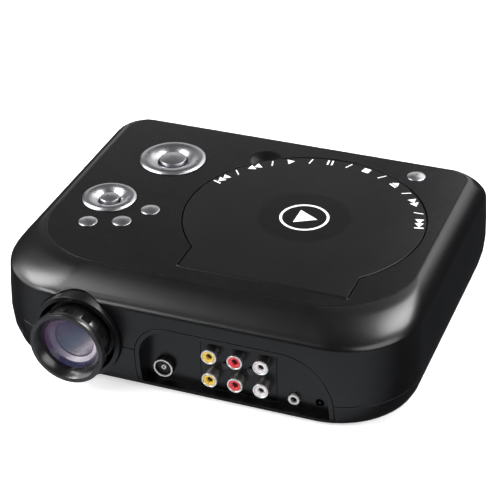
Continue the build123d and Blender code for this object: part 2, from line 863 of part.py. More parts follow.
def drive_chassis():
    """Steel plate under the well with rod brackets, a shelf for the feed motor and the gear's axle."""
    x0 = lid_center_x - chassis_left
    x1 = lid_center_x + chassis_right
    depth = chassis_half_depth
    plate = block(x0, x1, lid_y - depth, lid_y + depth, chassis_under, chassis_top)
    half = sled_upper_half + sled_clearance
    window_x0 = sled_x - sled_back - sled_clearance
    window_x1 = sled_x + sled_travel + sled_front + sled_clearance
    window = block(window_x0, window_x1, lid_y - half, lid_y + half, 0, far)
    shaft = post(lid_center_x, lid_y, motor_shaft_radius + running_gap, 0, far)
    screws = [post(x, y, small_screw_radius, 0, far) for x, y in damper_places()]
    plate -= [window, shaft] + screws
    left = pinion_x - shelf_left
    right = gear_x + shelf_right
    front = gear_y - gear_large_pitch - gear_module - shelf_front_margin
    shelf = block(left, right, front, gear_y + shelf_back, shelf_top - chassis_thickness, shelf_top)
    shelf -= post(pinion_x, gear_y, motor_shaft_radius + running_gap, 0, far)
    web = block(left, right, front, front + chassis_thickness, shelf_top, chassis_under)
    lug = block(left, right, front, lid_y - depth, chassis_under, chassis_top)
    axle = post(gear_x, gear_y, gear_axle_radius, shelf_top, chassis_under)
    brackets = []
    for y in (lid_y - rod_half_pitch, lid_y + rod_half_pitch):
        for x in (lid_center_x + rod_start, lid_center_x + rod_end - rod_bracket):
            low = rod_z - rod_radius - rod_bracket / 2
            ear = block(x, x + rod_bracket, y - rod_bracket_half, y + rod_bracket_half, low, chassis_under)
            brackets.append(ear - bar_x(y, rod_z, rod_radius, x, x + rod_bracket))
    return plate + [shelf, web, lug, axle] + brackets


def chassis_dampers():
    """Four rubber bushes between the chassis and the well."""
    bushes = []
    for x, y in damper_places():
        bush = post(x, y, damper_radius, chassis_top, well_floor_under)
        bushes.append(bush - post(x, y, small_screw_radius, chassis_top, well_floor_under))
    return group(bushes)


def guide_rods():
    """Two polished rods that the pickup slides on."""
    x0 = lid_center_x + rod_start
    x1 = lid_center_x + rod_end
    return group([bar_x(lid_y + side * rod_half_pitch, rod_z, rod_radius, x0, x1) for side in (-1, 1)])


def spindle_motor():
    """Flat motor under the chassis with a bore for the spindle's shaft."""
    can = post(lid_center_x, lid_y, motor_radius, chassis_under - motor_height, chassis_under)
    return can - post(lid_center_x, lid_y, motor_shaft_radius + running_gap, 0, far)


def spindle_hub():
    """Turntable with a tapered neck for the disc's hole, on the motor's shaft."""
    low = turntable_z - turntable_thickness
    neck_top = turntable_z + hub_neck_height
    shaft_z = chassis_under - motor_height + seat_gap
    points = [
        (0, shaft_z),
        (motor_shaft_radius, shaft_z),
        (motor_shaft_radius, low),
        (turntable_radius, low),
        (turntable_radius, turntable_z),
        (hub_neck_radius, turntable_z),
        (hub_neck_radius, neck_top - hub_neck_height / 3),
        (hub_neck_top, neck_top),
        (0, neck_top),
    ]
    return turned(points, lid_center_x, lid_y)


def tooth_ring(teeth, phase):
    """A gear's outline with plain tapered teeth, one of them centred at the phase angle."""
    pitch_radius = gear_module * teeth / 2
    root = pitch_radius - gear_dedendum * gear_module
    tip = pitch_radius + gear_addendum * gear_module
    thickness = pi * gear_module / 2 - gear_backlash
    root_half = thickness * tooth_root_share / root
    tip_half = thickness * tooth_tip_share / tip
    points = []
    for tooth in range(teeth):
        middle = radians(phase) + 2 * pi * tooth / teeth
        for radius, turn in ((root, -root_half), (tip, -tip_half), (tip, tip_half), (root, root_half)):
            points.append((radius * cos(middle + turn), radius * sin(middle + turn)))
    return make_face(Polyline(points, close=True))


def feed_gear():
    """Double gear between the feed motor's pinion and the pickup's rack."""
    large = Pos(gear_x, gear_y, large_gear_z) * extrude(tooth_ring(gear_large_teeth, 90), gear_width)
    small = Pos(gear_x, gear_y, rack_z) * extrude(tooth_ring(gear_small_teeth, 90), gear_width)
    neck_radius = gear_small_pitch - 2 * gear_module
    neck = post(gear_x, gear_y, neck_radius, large_gear_z + gear_width, rack_z)
    return large + [neck, small] - post(gear_x, gear_y, gear_axle_radius + running_gap, 0, far)


def motor_pinion():
    """Small gear on the feed motor's shaft, standing half a tooth off the double gear."""
    half_tooth = 180 / pinion_teeth
    pinion = Pos(pinion_x, gear_y, large_gear_z) * extrude(tooth_ring(pinion_teeth, half_tooth), gear_width)
    shaft_low = shelf_top - chassis_thickness - feed_motor_length + seat_gap
    return pinion + post(pinion_x, gear_y, motor_shaft_radius, shaft_low, large_gear_z)


def feed_motor():
    """Small motor hung under the chassis shelf."""
    top = shelf_top - chassis_thickness
    can = post(pinion_x, gear_y, feed_motor_radius, top - feed_motor_length, top)
    return can - post(pinion_x, gear_y, motor_shaft_radius + running_gap, 0, far)


def pickup_sled():
    """Optical pickup body with bores for the rods, a well for the lens holder and a rack."""
    x0 = sled_x - sled_back
    x1 = sled_x + sled_front
    low = rod_z - rod_radius - 1
    base_top = chassis_under - seat_gap
    outer = rod_half_pitch + rod_bracket_half
    base = block(x0, x1, lid_y - outer, lid_y + outer, low, base_top)
    tower_top = low + sled_height
    tower = block(x0, x1, lid_y - sled_upper_half, lid_y + sled_upper_half, base_top, tower_top)
    pocket_x = holder_length / 2 + holder_gap
    pocket_y = holder_width / 2 + holder_gap
    pocket_z = tower_top - holder_height / 2 - holder_travel - seat_gap
    pocket = block(sled_x - pocket_x, sled_x + pocket_x, lid_y - pocket_y, lid_y + pocket_y, pocket_z, far)
    bore = rod_radius + running_gap
    bores = [bar_x(lid_y + side * rod_half_pitch, rod_z, bore, x0, x1) for side in (-1, 1)]
    bridge_y = rack_y + gear_dedendum * gear_module + rack_bar
    bridge = block(x0, x1, bridge_y, lid_y - outer, rack_z, rack_z + gear_width)
    return base + [tower, bridge, rack()] - [pocket] - bores


def rack():
    """Toothed bar along the sled's front side, long enough for its whole travel."""
    root = rack_y + gear_dedendum * gear_module
    tip = rack_y - gear_addendum * gear_module
    pitch = pi * gear_module
    thickness = pitch / 2 - gear_backlash
    root_half = thickness * tooth_root_share
    tip_half = thickness * tooth_tip_share
    count = int(sled_travel / pitch) + 2 * rack_spare_count
    end_x = gear_x + (rack_spare_count + 0.5) * pitch
    last_x = end_x - (count + 0.5) * pitch
    points = [(end_x, root + rack_bar), (end_x, root)]
    for tooth in range(count):
        middle = gear_x + (rack_spare_count - 0.5 - tooth) * pitch
        points += [(middle + root_half, root), (middle + tip_half, tip)]
        points += [(middle - tip_half, tip), (middle - root_half, root)]
    points += [(last_x, root), (last_x, root + rack_bar)]
    return Pos(0, 0, rack_z) * extrude(make_face(Polyline(points, close=True)), gear_width)


def lens_holder():
    """Sprung holder in the pickup, without its lens."""
    low = rod_z - rod_radius - 1
    top = low + sled_height + holder_height / 2
    half_x = holder_length / 2
    half_y = holder_width / 2
    body = block(sled_x - half_x, sled_x + half_x, lid_y - half_y, lid_y + half_y, top - holder_height, top)
    return body - post(sled_x, lid_y, objective_radius, top - holder_height, top)


def objective_lens():
    """Small domed lens in the pickup's holder."""
    low = rod_z - rod_radius - 1
    top = low + sled_height + holder_height / 2
    base = top - holder_height / 2
    points = [
        (0, base),
        (objective_radius, base),
        (objective_radius, top),
        dome(objective_radius, top, top + objective_rise),
    ]
    return turned(points, sled_x, lid_y)


# ---- Lens and light engine ----
def lens_collar():
    """Round hood of the case around the lens, with a flange behind the wall."""
    back = front_y + 2 * wall
    ring = bar_y(lens_x, lens_z, collar_radius, collar_y, back)
    flange = bar_y(lens_x, lens_z, collar_radius + collar_flange, back, back + collar_flange_thickness)
    flange &= cavity()
    bore = bar_y(lens_x, lens_z, collar_bore, collar_y, back + collar_flange_thickness)
    return ring + flange - bore


def focus_ring():
    """Lens rim and grip ring with raised lugs, turned by hand."""
    back = rim_y + focus_ring_length
    rim = bar_y(lens_x, lens_z, rim_radius, rim_y, rim_y + rim_width)
    grip = bar_y(lens_x, lens_z, grip_radius, rim_y + rim_width, back)
    lugs = []
    for step in range(lug_count):
        lug = block(-lug_width / 2, lug_width / 2, 0, lug_length, grip_radius - 1, lug_radius)
        turn = Rot(0, 360 * (step + 0.5) / lug_count, 0)
        lugs.append(Pos(lens_x, rim_y + rim_width, lens_z) * turn * lug)
    bore = bar_y(lens_x, lens_z, barrel_radius + running_gap, rim_y + focus_cone_depth, back)
    slope = Rot(90, 0, 0) * Cone(barrel_radius - barrel_wall, focus_cone_front, focus_cone_depth)
    mouth = Pos(lens_x, rim_y + focus_cone_depth / 2, lens_z) * slope
    return rim + [grip] + lugs - [bore, mouth]


def lens_barrel():
    """Tube that carries the glass and slides in the sleeve."""
    back = barrel_front + barrel_length
    inner = barrel_radius - barrel_wall
    tube = bar_y(lens_x, lens_z, barrel_radius, barrel_front, back)
    tube -= bar_y(lens_x, lens_z, inner, barrel_front, back)
    ring_y = barrel_front + rear_glass_place
    ring = bar_y(lens_x, lens_z, inner, ring_y, ring_y + rear_ring_width)
    return tube + (ring - bar_y(lens_x, lens_z, rear_glass_radius - 1, ring_y, ring_y + rear_ring_width))


def glass(radius, thickness, bulge, y0):
    """Lens element bulging to the front, flat behind, its front edge at y0."""
    points = [(0, 0), (radius, 0), (radius, thickness), dome(radius, thickness, thickness + bulge)]
    return Pos(lens_x, y0 + thickness, lens_z) * Rot(90, 0, 0) * turned(points, 0, 0)


def front_glass():
    """Coated front element."""
    return glass(barrel_radius - barrel_wall, front_glass_thickness, front_glass_bulge, barrel_front + 1)


def rear_glass():
    """Second element, seated on the barrel's inner ring."""
    y0 = barrel_front + rear_glass_place - front_glass_thickness
    return glass(rear_glass_radius, front_glass_thickness, front_glass_bulge, y0)


def light_box():
    """Housing of the light path, with the lens sleeve on its front."""
    x0 = lens_x - box_half_width
    x1 = lens_x + box_half_width
    z1 = lens_z + box_half_height
    within = (x0 + box_wall, x1 - box_wall)
    z_within = (box_under + box_wall, z1 - box_wall)
    case = block(x0, x1, box_front_y, box_back_y, box_under, z1)
    case -= block(*within, box_front_y + box_wall, box_back_y, *z_within)
    sleeve = bar_y(lens_x, lens_z, barrel_radius + sleeve_wall, sleeve_front, box_front_y)
    bore = bar_y(lens_x, lens_z, barrel_radius + running_gap, sleeve_front, box_front_y + box_wall)
    seat_y = box_back_y - condenser_gap
    seat = block(*within, seat_y, seat_y + condenser_seat, *z_within)
    seat -= bar_y(lens_x, lens_z, condenser_radius - 1, seat_y, seat_y + condenser_seat)
    return case + [sleeve, seat] - bore


def plate_in_box(y0, thickness):
    """A flat optical plate standing in the light box."""
    half_x = box_half_width - box_wall - seat_gap
    low = box_under + box_wall
    high = lens_z + box_half_height - box_wall - seat_gap
    return block(lens_x - half_x, lens_x + half_x, y0, y0 + thickness, low, high)


def image_panel():
    """Liquid crystal panel that forms the picture."""
    return plate_in_box(box_front_y + panel_place, panel_thickness)


def fresnel_lens():
    """Thin ridged plate lens behind the panel."""
    return plate_in_box(box_front_y + panel_place + panel_thickness + fresnel_gap, fresnel_thickness)


def condenser_lens():
    """Thick lens that gathers the lamp's light, flat against its seat."""
    radius = condenser_radius
    return glass(radius, condenser_rim, condenser_thickness, box_back_y - condenser_gap - condenser_rim)


def lamp_module():
    """Light-emitting diode on its metal board."""
    half = lamp_board / 2
    back = box_back_y + lamp_board_thickness
    board = block(lens_x - half, lens_x + half, box_back_y, back, lens_z - half, lens_z + half)
    ball = Pos(lens_x, box_back_y, lens_z) * Sphere(lamp_dome_radius)
    return board + (ball & block(-far, far, -far, box_back_y, 0, far))


def heat_sink():
    """Finned block behind the lamp."""
    y0 = box_back_y + lamp_board_thickness
    x0 = lens_x - sink_width / 2
    z0 = lens_z - sink_height / 2
    z1 = lens_z + sink_height / 2
    base = block(x0, x0 + sink_width, y0, y0 + sink_base, z0, z1)
    pitch = (sink_width - sink_fin) / (sink_fin_count - 1)
    fins = [
        block(x0 + step * pitch, x0 + step * pitch + sink_fin, y0 + sink_base, sink_back_y, z0, z1)
        for step in range(sink_fin_count)
    ]
    return base + fins


def fan_frame():
    """Square fan frame with spokes and a motor cup towards the back."""
    half = fan_size / 2
    back = fan_y + fan_depth
    frame = block(lens_x - half, lens_x + half, fan_y, back, lens_z - half, lens_z + half)
    frame -= bar_y(lens_x, lens_z, fan_bore, fan_y, back)
    corner = half - fan_corner_inset
    frame -= [
        bar_y(lens_x + sx * corner, lens_z + sz * corner, fan_corner_hole, fan_y, back)
        for sx in (-1, 1)
        for sz in (-1, 1)
    ]
    cup = bar_y(lens_x, lens_z, fan_hub_radius, back - fan_cup_depth, back)
    spokes = []
    for turn in (45, 135, 225, 315):
        reach = fan_bore + fan_spoke_sink
        arm = block(-wall / 2, wall / 2, back - fan_cup_depth, back, fan_hub_radius / 2, reach)
        spokes.append(Pos(lens_x, 0, lens_z) * Rot(0, turn, 0) * arm)
    bore = bar_y(lens_x, lens_z, fan_shaft_radius + running_gap, back - fan_cup_depth, back)
    return frame + [cup] + spokes - bore


def fan_rotor():
    """Fan hub with pitched blades and a shaft into the motor cup."""
    back = fan_y + fan_depth
    hub_back = back - fan_cup_depth - seat_gap * 2
    hub = bar_y(lens_x, lens_z, fan_hub_radius, fan_y + seat_gap, hub_back)
    shaft = bar_y(lens_x, lens_z, fan_shaft_radius, hub_back, back - seat_gap)
    chord = hub_back - fan_y - 1
    height = fan_blade_radius - fan_hub_radius + fan_blade_sink
    blades = []
    for step in range(fan_blade_count):
        blade = Rot(0, 0, fan_blade_pitch) * Box(fan_blade_thickness, chord, height)
        turn = Rot(0, 360 * step / fan_blade_count, 0)
        middle = fan_hub_radius - fan_blade_sink + height / 2
        blades.append(Pos(lens_x, (fan_y + hub_back) / 2, lens_z) * turn * Pos(0, 0, middle) * blade)
    limit = bar_y(lens_x, lens_z, fan_blade_radius, fan_y + seat_gap, hub_back)
    return hub + [shaft] + [blade & limit for blade in blades]


# ---- Connector bay ----
def block_span():
    """Left, right, bottom and top of the moulded socket block."""
    left = rca_columns[0] - block_margin
    right = rca_columns[-1] + block_margin
    return left, right, board_top, rca_rows[-1] + block_margin


def bay_screw_places():
    """Screws between the socket columns, midway between the rows."""
    z = (rca_rows[0] + rca_rows[1]) / 2
    return [((left + right) / 2, z) for left, right in zip(rca_columns, rca_columns[1:])]


def connector_bay():
    """Recessed panel for the sockets, its frame flush with the front wall."""
    pan = skin() & bay_plan(bay_frame, -far, bay_behind, 0)
    left, right, low, high = block_span()
    cuts = [
        bay_plan(0, -far, bay_back, bay_lip),
        block(left - seam_gap, right + seam_gap, bay_back, bay_behind, low - 1, high + seam_gap),
        bar_y(tuner_x, base_z + tuner_rise, tuner_radius + seam_gap, bay_back, bay_behind),
        bar_y(phone_x, base_z + phone_rise, phone_bush_radius + seam_gap, bay_back, bay_behind),
        bar_y(power_in_x, base_z + power_in_rise, power_in_radius, bay_back, bay_behind),
    ]
    return pan - cuts


def socket_block():
    """Black moulded block behind the six video and sound sockets."""
    left, right, low, high = block_span()
    body = block(left, right, bay_back, bay_back + block_depth, low, high)
    barrel_end = bay_back + block_depth / 2
    screw_end = bay_back + bay_screw_length
    cuts = [bar_y(x, z, rca_radius, bay_back, barrel_end) for x in rca_columns for z in rca_rows]
    cuts += [bar_y(x, z, small_screw_radius, bay_back, screw_end) for x, z in bay_screw_places()]
    return body - cuts


def socket_shells():
    """Six plated barrels."""
    front = bay_back - rca_reach
    back = bay_back + block_depth / 2
    inner = rca_radius - rca_shell_wall
    shells = []
    for x in rca_columns:
        for z in rca_rows:
            shells.append(bar_y(x, z, rca_radius, front, back) - bar_y(x, z, inner, front, back))
    return group(shells)


def socket_inserts(x):
    """The two coloured inserts of one column."""
    front = bay_back - rca_reach + rca_insert_back
    back = bay_back + block_depth / 2
    inner = rca_radius - rca_shell_wall
    end = back - rca_insert_floor
    hole = rca_hole_radius
    return group([bar_y(x, z, inner, front, back) - bar_y(x, z, hole, front, end) for z in rca_rows])


def small_screws():
    """Two screws in the socket block and four that hold the drive chassis up to the well."""
    screws = []
    for x, z in bay_screw_places():
        head = bar_y(x, z, small_screw_head, bay_back - small_screw_head_height, bay_back)
        screws.append(head + bar_y(x, z, small_screw_radius, bay_back, bay_back + bay_screw_length))
    for x, y in damper_places():
        head = post(x, y, small_screw_head, chassis_under - small_screw_head_height, chassis_under)
        screws.append(head + post(x, y, small_screw_radius, chassis_under, well_floor_top))
    return group(screws)


def tuner_socket():
    """Metal can with the round aerial socket on its front."""
    z = base_z + tuner_rise
    front = bay_back - tuner_reach
    can_y = bay_behind + seam_gap
    half = tuner_can_half
    can = block(tuner_x - half, tuner_x + half, can_y, can_y + tuner_can_depth, board_top, z + half)
    ring = bar_y(tuner_x, z, tuner_radius, front, can_y)
    return can + ring - bar_y(tuner_x, z, tuner_radius - tuner_wall, front, can_y)


def tuner_contact():
    """Insulating disc and tubular centre contact of the aerial socket."""
    z = base_z + tuner_rise
    can_y = bay_behind + seam_gap
    disc = bar_y(tuner_x, z, tuner_radius - tuner_wall, can_y - tuner_disc, can_y)
    front = bay_back - tuner_reach + tuner_contact_back
    tube = bar_y(tuner_x, z, tuner_contact_radius, front, can_y)
    return disc + tube - bar_y(tuner_x, z, tuner_contact_bore, front, can_y - tuner_disc)


def phone_socket():
    """Headphone socket: black body with a plated bush through the bay."""
    z = base_z + phone_rise
    front = bay_back - phone_bush_reach
    body_y = bay_behind + seam_gap
    half = phone_body_half
    body = block(phone_x - half, phone_x + half, body_y, body_y + phone_depth, board_top, z + half)
    bush = bar_y(phone_x, z, phone_bush_radius, front, body_y)
    return body + bush - bar_y(phone_x, z, phone_bore_radius, front, front + phone_bore_length)


def power_inlet():
    """Low-voltage inlet: body behind the bay with its centre pin."""
    z = base_z + power_in_rise
    body_y = bay_behind + seam_gap
    half = power_in_half
    body = block(power_in_x - half, power_in_x + half, body_y, body_y + power_in_depth, board_top, z + half)
    body -= bar_y(power_in_x, z, power_in_radius, body_y, body_y + power_in_depth - wall)
    return body + bar_y(power_in_x, z, power_pin_radius, bay_back, body_y + power_in_depth - wall)


# ---- Boards and the rest ----
def standoff_places():
    """Four standoffs under the main board."""
    xs = (main_board_left + standoff_inset, main_board_right - standoff_inset)
    ys = (bay_behind + 3 * standoff_inset, main_board_back - standoff_inset)
    return [(x, y) for x in xs for y in ys]


def main_board():
    """Circuit board on the lower shell's standoffs."""
    y0 = bay_behind + main_board_front_gap
    return block(main_board_left, main_board_right, y0, main_board_back, board_z, board_top)


def board_parts():
    """Chips, capacitors and coils on the main board."""
    parts = []
    middle_x = (main_board_left + main_board_right) / 2
    for step, size in enumerate((chip_size, small_chip_size, small_chip_size)):
        x = middle_x + (step - 1) * chip_pitch
        half = size / 2
        parts.append(block(x - half, x + half, -half, half, board_top, board_top + chip_height))
    y = bay_behind + board_row_back
    for step in range(capacitor_count):
        x = main_board_left + capacitor_pitch * (step + 1)
        parts.append(post(x, y, capacitor_radius, board_top, board_top + capacitor_height))
    for step in range(coil_count):
        x = main_board_right - (step + 1) * coil_pitch
        parts.append(block(x, x + coil_size, y, y + coil_size, board_top, board_top + coil_height))
    return group(parts)


def usb_socket():
    """Memory-stick socket at the back: a folded metal shell with its tongue."""
    front = back_y - rear_socket_inset
    back = front - usb_depth
    half = usb_width / 2
    inner = half - usb_shell
    top = board_top + usb_height
    inner_back = back + rear_socket_floor
    shell = block(usb_x - half, usb_x + half, back, front, board_top, top)
    shell -= block(usb_x - inner, usb_x + inner, inner_back, front, board_top + usb_shell, top - usb_shell)
    tongue = inner - usb_tongue_gap
    tongue_top = top - usb_shell - usb_tongue_gap
    low = tongue_top - usb_tongue
    return shell + block(usb_x - tongue, usb_x + tongue, inner_back, front - usb_tongue_back, low, tongue_top)


def card_socket():
    """Memory-card socket at the back."""
    front = back_y - rear_socket_inset
    half = card_width / 2
    slot = card_slot_width / 2
    back = front - card_depth
    low = board_top + (card_height - card_slot_height) / 2
    body = block(card_x - half, card_x + half, back, front, board_top, board_top + card_height)
    inner_back = back + rear_socket_floor
    return body - block(card_x - slot, card_x + slot, inner_back, front, low, low + card_slot_height)


def speaker():
    """Small loudspeaker, face down over its slots in the floor."""
    basket_top = inside_z + speaker_height / 2
    ring = post(speaker_x, speaker_y, speaker_radius, inside_z, basket_top)
    return ring + post(speaker_x, speaker_y, speaker_magnet_radius, basket_top, inside_z + speaker_height)


def build_all():
    """Every node by name."""
    menu = (menu_ring_x, menu_ring_y, menu_ring_radius, menu_hole_radius)
    volume = (volume_ring_x, volume_ring_y, volume_ring_radius, volume_hole_radius)
    return {
        "lower_shell": lower_shell(),
        "upper_shell": upper_shell(),
        "top_panel": top_panel(),
        "disc_well": disc_well(),
        "disc_lid": disc_lid(),
        "hinge_pins": hinge_pins(),
        "rubber_feet": rubber_feet(),
        "case_screws": case_screws(),
        "menu_ring": rocker_ring(*menu),
        "menu_gimbal": ring_gimbal(menu_ring_x, menu_ring_y, menu_ring_radius, menu_hole_radius),
        "menu_button": center_button(menu_ring_x, menu_ring_y, menu_hole_radius),
        "volume_ring": rocker_ring(*volume),
        "volume_gimbal": ring_gimbal(volume_ring_x, volume_ring_y, volume_ring_radius, volume_hole_radius),
        "play_button": center_button(volume_ring_x, volume_ring_y, volume_hole_radius),
        "source_key": round_key(first_key),
        "setup_key": round_key(second_key),
        "stop_key": round_key(third_key),
        "power_key": round_key(power_key),
        "key_board": key_board(),
        "key_switches": key_switches(),
        "drive_chassis": drive_chassis(),
        "chassis_dampers": chassis_dampers(),
        "guide_rods": guide_rods(),
        "spindle_motor": spindle_motor(),
        "spindle_hub": spindle_hub(),
        "feed_motor": feed_motor(),
        "motor_pinion": motor_pinion(),
        "feed_gear": feed_gear(),
        "pickup_sled": pickup_sled(),
        "lens_holder": lens_holder(),
        "objective_lens": objective_lens(),
        "lens_collar": lens_collar(),
        "focus_ring": focus_ring(),
        "lens_barrel": lens_barrel(),
        "front_glass": front_glass(),
        "rear_glass": rear_glass(),
        "light_box": light_box(),
        "image_panel": image_panel(),
        "fresnel_lens": fresnel_lens(),
        "condenser_lens": condenser_lens(),
        "lamp_module": lamp_module(),
        "heat_sink": heat_sink(),
        "fan_frame": fan_frame(),
        "fan_rotor": fan_rotor(),
        "connector_bay": connector_bay(),
        "socket_block": socket_block(),
        "socket_shells": socket_shells(),
        "yellow_inserts": socket_inserts(rca_columns[0]),
        "red_inserts": socket_inserts(rca_columns[1]),
        "white_inserts": socket_inserts(rca_columns[2]),
        "small_screws": small_screws(),
        "tuner_socket": tuner_socket(),
        "tuner_contact": tuner_contact(),
        "phone_socket": phone_socket(),
        "power_inlet": power_inlet(),
        "main_board": main_board(),
        "board_parts": board_parts(),
        "usb_socket": usb_socket(),
        "card_socket": card_socket(),
        "speaker": speaker(),
    }


os.makedirs("parts", exist_ok=True)
for name, shape in build_all().items():
    export_step(shape, f"parts/{name}.step")
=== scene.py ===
from math import cos, hypot, pi, radians, sin, sqrt

import bmesh
import bpy
from mathutils import Matrix, Vector


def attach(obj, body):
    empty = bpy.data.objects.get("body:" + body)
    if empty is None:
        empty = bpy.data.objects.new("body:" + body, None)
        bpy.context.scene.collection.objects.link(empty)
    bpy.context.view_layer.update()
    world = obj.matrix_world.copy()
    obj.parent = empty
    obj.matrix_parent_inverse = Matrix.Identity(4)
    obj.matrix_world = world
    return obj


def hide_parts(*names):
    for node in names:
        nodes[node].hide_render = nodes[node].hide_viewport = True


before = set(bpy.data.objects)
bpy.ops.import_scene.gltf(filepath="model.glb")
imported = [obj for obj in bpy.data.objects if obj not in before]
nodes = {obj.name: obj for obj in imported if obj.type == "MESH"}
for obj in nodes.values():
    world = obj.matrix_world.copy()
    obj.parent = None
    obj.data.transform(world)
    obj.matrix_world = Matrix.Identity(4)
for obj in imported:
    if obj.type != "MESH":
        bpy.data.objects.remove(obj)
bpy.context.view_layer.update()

# ---- Studio ----
# A pale floor on white. Two softboxes high at the left and right light the front corners, weak
# fills stand beside and before the object, and dim panels behind show in the plated keys.
scene = bpy.context.scene
scene.view_settings.view_transform = "Standard"
mm = 0.001
azimuth, elevation, roll = radians(21.093), radians(32.127), radians(-0.877)
target = Vector((13.53, -23.93, 60.0)) * mm
distance = 922.83 * mm
back = Vector((sin(azimuth) * cos(elevation), -cos(azimuth) * cos(elevation), sin(elevation)))
right = Vector((cos(azimuth), sin(azimuth), 0))
up = back.cross(right)
across = cos(roll) * right + sin(roll) * up
upward = -sin(roll) * right + cos(roll) * up
view_camera = bpy.data.objects.new("view_camera", bpy.data.cameras.new("view_camera"))
view_camera.data.lens = 126.93
view_camera.data.sensor_width = 36.0
view_camera.data.clip_start = 0.01
facing = Matrix((across, upward, back)).transposed().to_4x4()
view_camera.matrix_world = Matrix.Translation(target + back * distance) @ facing
scene.collection.objects.link(view_camera)
scene.camera = view_camera


class Value:
    """A shader socket that plain arithmetic works on."""

    def __init__(self, finish, socket):
        self.finish = finish
        self.socket = socket

    def math(self, operation, first, second):
        return self.finish.node("ShaderNodeMath", {"operation": operation}, {0: first, 1: second})

    def __add__(self, other):
        return self.math("ADD", self, other)

    def __radd__(self, other):
        return self.math("ADD", other, self)

    def __sub__(self, other):
        return self.math("SUBTRACT", self, other)

    def __mul__(self, other):
        return self.math("MULTIPLY", self, other)

    def __rmul__(self, other):
        return self.math("MULTIPLY", other, self)


class Finish:
    """A material: fixed values go on the shader's own sockets, the rest is linked from nodes."""

    def __init__(self, name, **fixed):
        self.material = bpy.data.materials.new(name)
        self.material.use_nodes = True
        self.tree = self.material.node_tree
        self.shader = self.tree.nodes["Principled BSDF"]
        for key, value in fixed.items():
            self.shader.inputs[key.replace("_", " ")].default_value = value

    def node(self, kind, settings, inputs, output=0):
        made = self.tree.nodes.new(kind)
        for key, value in settings.items():
            if key == "stops":
                while len(made.color_ramp.elements) < len(value):
                    made.color_ramp.elements.new(0.5)
                for element, (place, colour) in zip(made.color_ramp.elements, value):
                    element.position = place
                    element.color = (*colour, 1)
            else:
                setattr(made, key, value)
        for key, value in inputs.items():
            if isinstance(value, Value):
                self.tree.links.new(value.socket, made.inputs[key])
            else:
                made.inputs[key].default_value = value
        return Value(self, made.outputs[output])

    def place(self, centre=(0, 0, 0), scale=(1, 1, 1)):
        coordinates = self.node("ShaderNodeTexCoord", {}, {}, "Object")
        shift = tuple(-c * mm * s for c, s in zip(centre, scale))
        values = {"Vector": coordinates, "Location": shift, "Scale": scale}
        return self.node("ShaderNodeMapping", {}, values)

    def noise(self, scale, detail=3, stretch=(1, 1, 1)):
        values = {"Vector": self.place(scale=stretch), "Scale": scale, "Detail": detail}
        return self.node("ShaderNodeTexNoise", {}, values)

    def link(self, key, value):
        self.tree.links.new(value.socket, self.shader.inputs[key])

    def tint(self, low, high, amount):
        ramp = {"stops": [(0.3, low), (0.7, high)]}
        self.link("Base Color", self.node("ShaderNodeValToRGB", ramp, {"Fac": amount}))

    def rough(self, low, high, amount):
        self.link("Roughness", low + (high - low) * amount)

    def bump(self, height, distance, strength=1.0):
        values = {"Height": height, "Distance": distance * mm, "Strength": strength}
        self.link("Normal", self.node("ShaderNodeBump", {}, values))


def soft_light(name, direction, reach, width, height, power):
    """A rectangular light, reach metres away in a direction and turned to the object."""
    lamp = bpy.data.lights.new(name, "AREA")
    lamp.shape = "RECTANGLE"
    lamp.size, lamp.size_y = width, height
    lamp.energy = power
    holder = bpy.data.objects.new(name, lamp)
    aim = Vector(direction).normalized()
    holder.location = Vector((0, 0, 0.03)) + aim * reach
    holder.rotation_euler = aim.to_track_quat("Z", "Y").to_euler()
    scene.collection.objects.link(holder)


soft_light("left_softbox", (-0.66, -0.05, 0.75), 1.0, 0.44, 0.44, 10.5)
soft_light("right_softbox", (0.44, 0.42, 0.79), 1.0, 0.42, 0.42, 9)
soft_light("left_fill", (-0.90, -0.28, 0.34), 0.95, 1.0, 0.7, 7)
soft_light("right_fill", (0.785, -0.323, 0.532), 1.0, 0.85, 0.7, 8)
soft_light("front_strip", (-0.55, -0.62, 0.56), 1.2, 0.5, 0.25, 6)
soft_light("left_back_panel", (-0.42, 0.76, 0.49), 1.1, 0.6, 0.35, 0.13)
soft_light("back_panel", (0.24, 0.90, 0.55), 1.1, 0.7, 0.5, 2.2)
soft_light("low_back_panel", (-0.37, 0.90, 0.21), 1.1, 0.9, 0.42, 1.1)

world = bpy.data.worlds.new("studio")
scene.world = world
world.use_nodes = True
sky = world.node_tree
seen = sky.nodes.new("ShaderNodeLightPath")
pale = sky.nodes.new("ShaderNodeBackground")
pale.inputs["Color"].default_value = (1, 1, 1, 1)
mixer = sky.nodes.new("ShaderNodeMixShader")
dim = sky.nodes["Background"]
dim.inputs["Color"].default_value = (0.9, 0.93, 1.0, 1)
toward = sky.nodes.new("ShaderNodeSeparateXYZ")
sky.links.new(sky.nodes.new("ShaderNodeTexCoord").outputs["Generated"], toward.inputs[0])
dim_strength, floor_glow = 0.045, 0.8


def sky_ramp(axis, start, end, low, high):
    """Goes from low to high while a direction's part along an axis goes from start to end."""
    ramp = sky.nodes.new("ShaderNodeMapRange")
    sky.links.new(toward.outputs[axis], ramp.inputs["Value"])
    for key, value in (("From Min", start), ("From Max", end), ("To Min", low), ("To Max", high)):
        ramp.inputs[key].default_value = value
    return ramp.outputs[0]


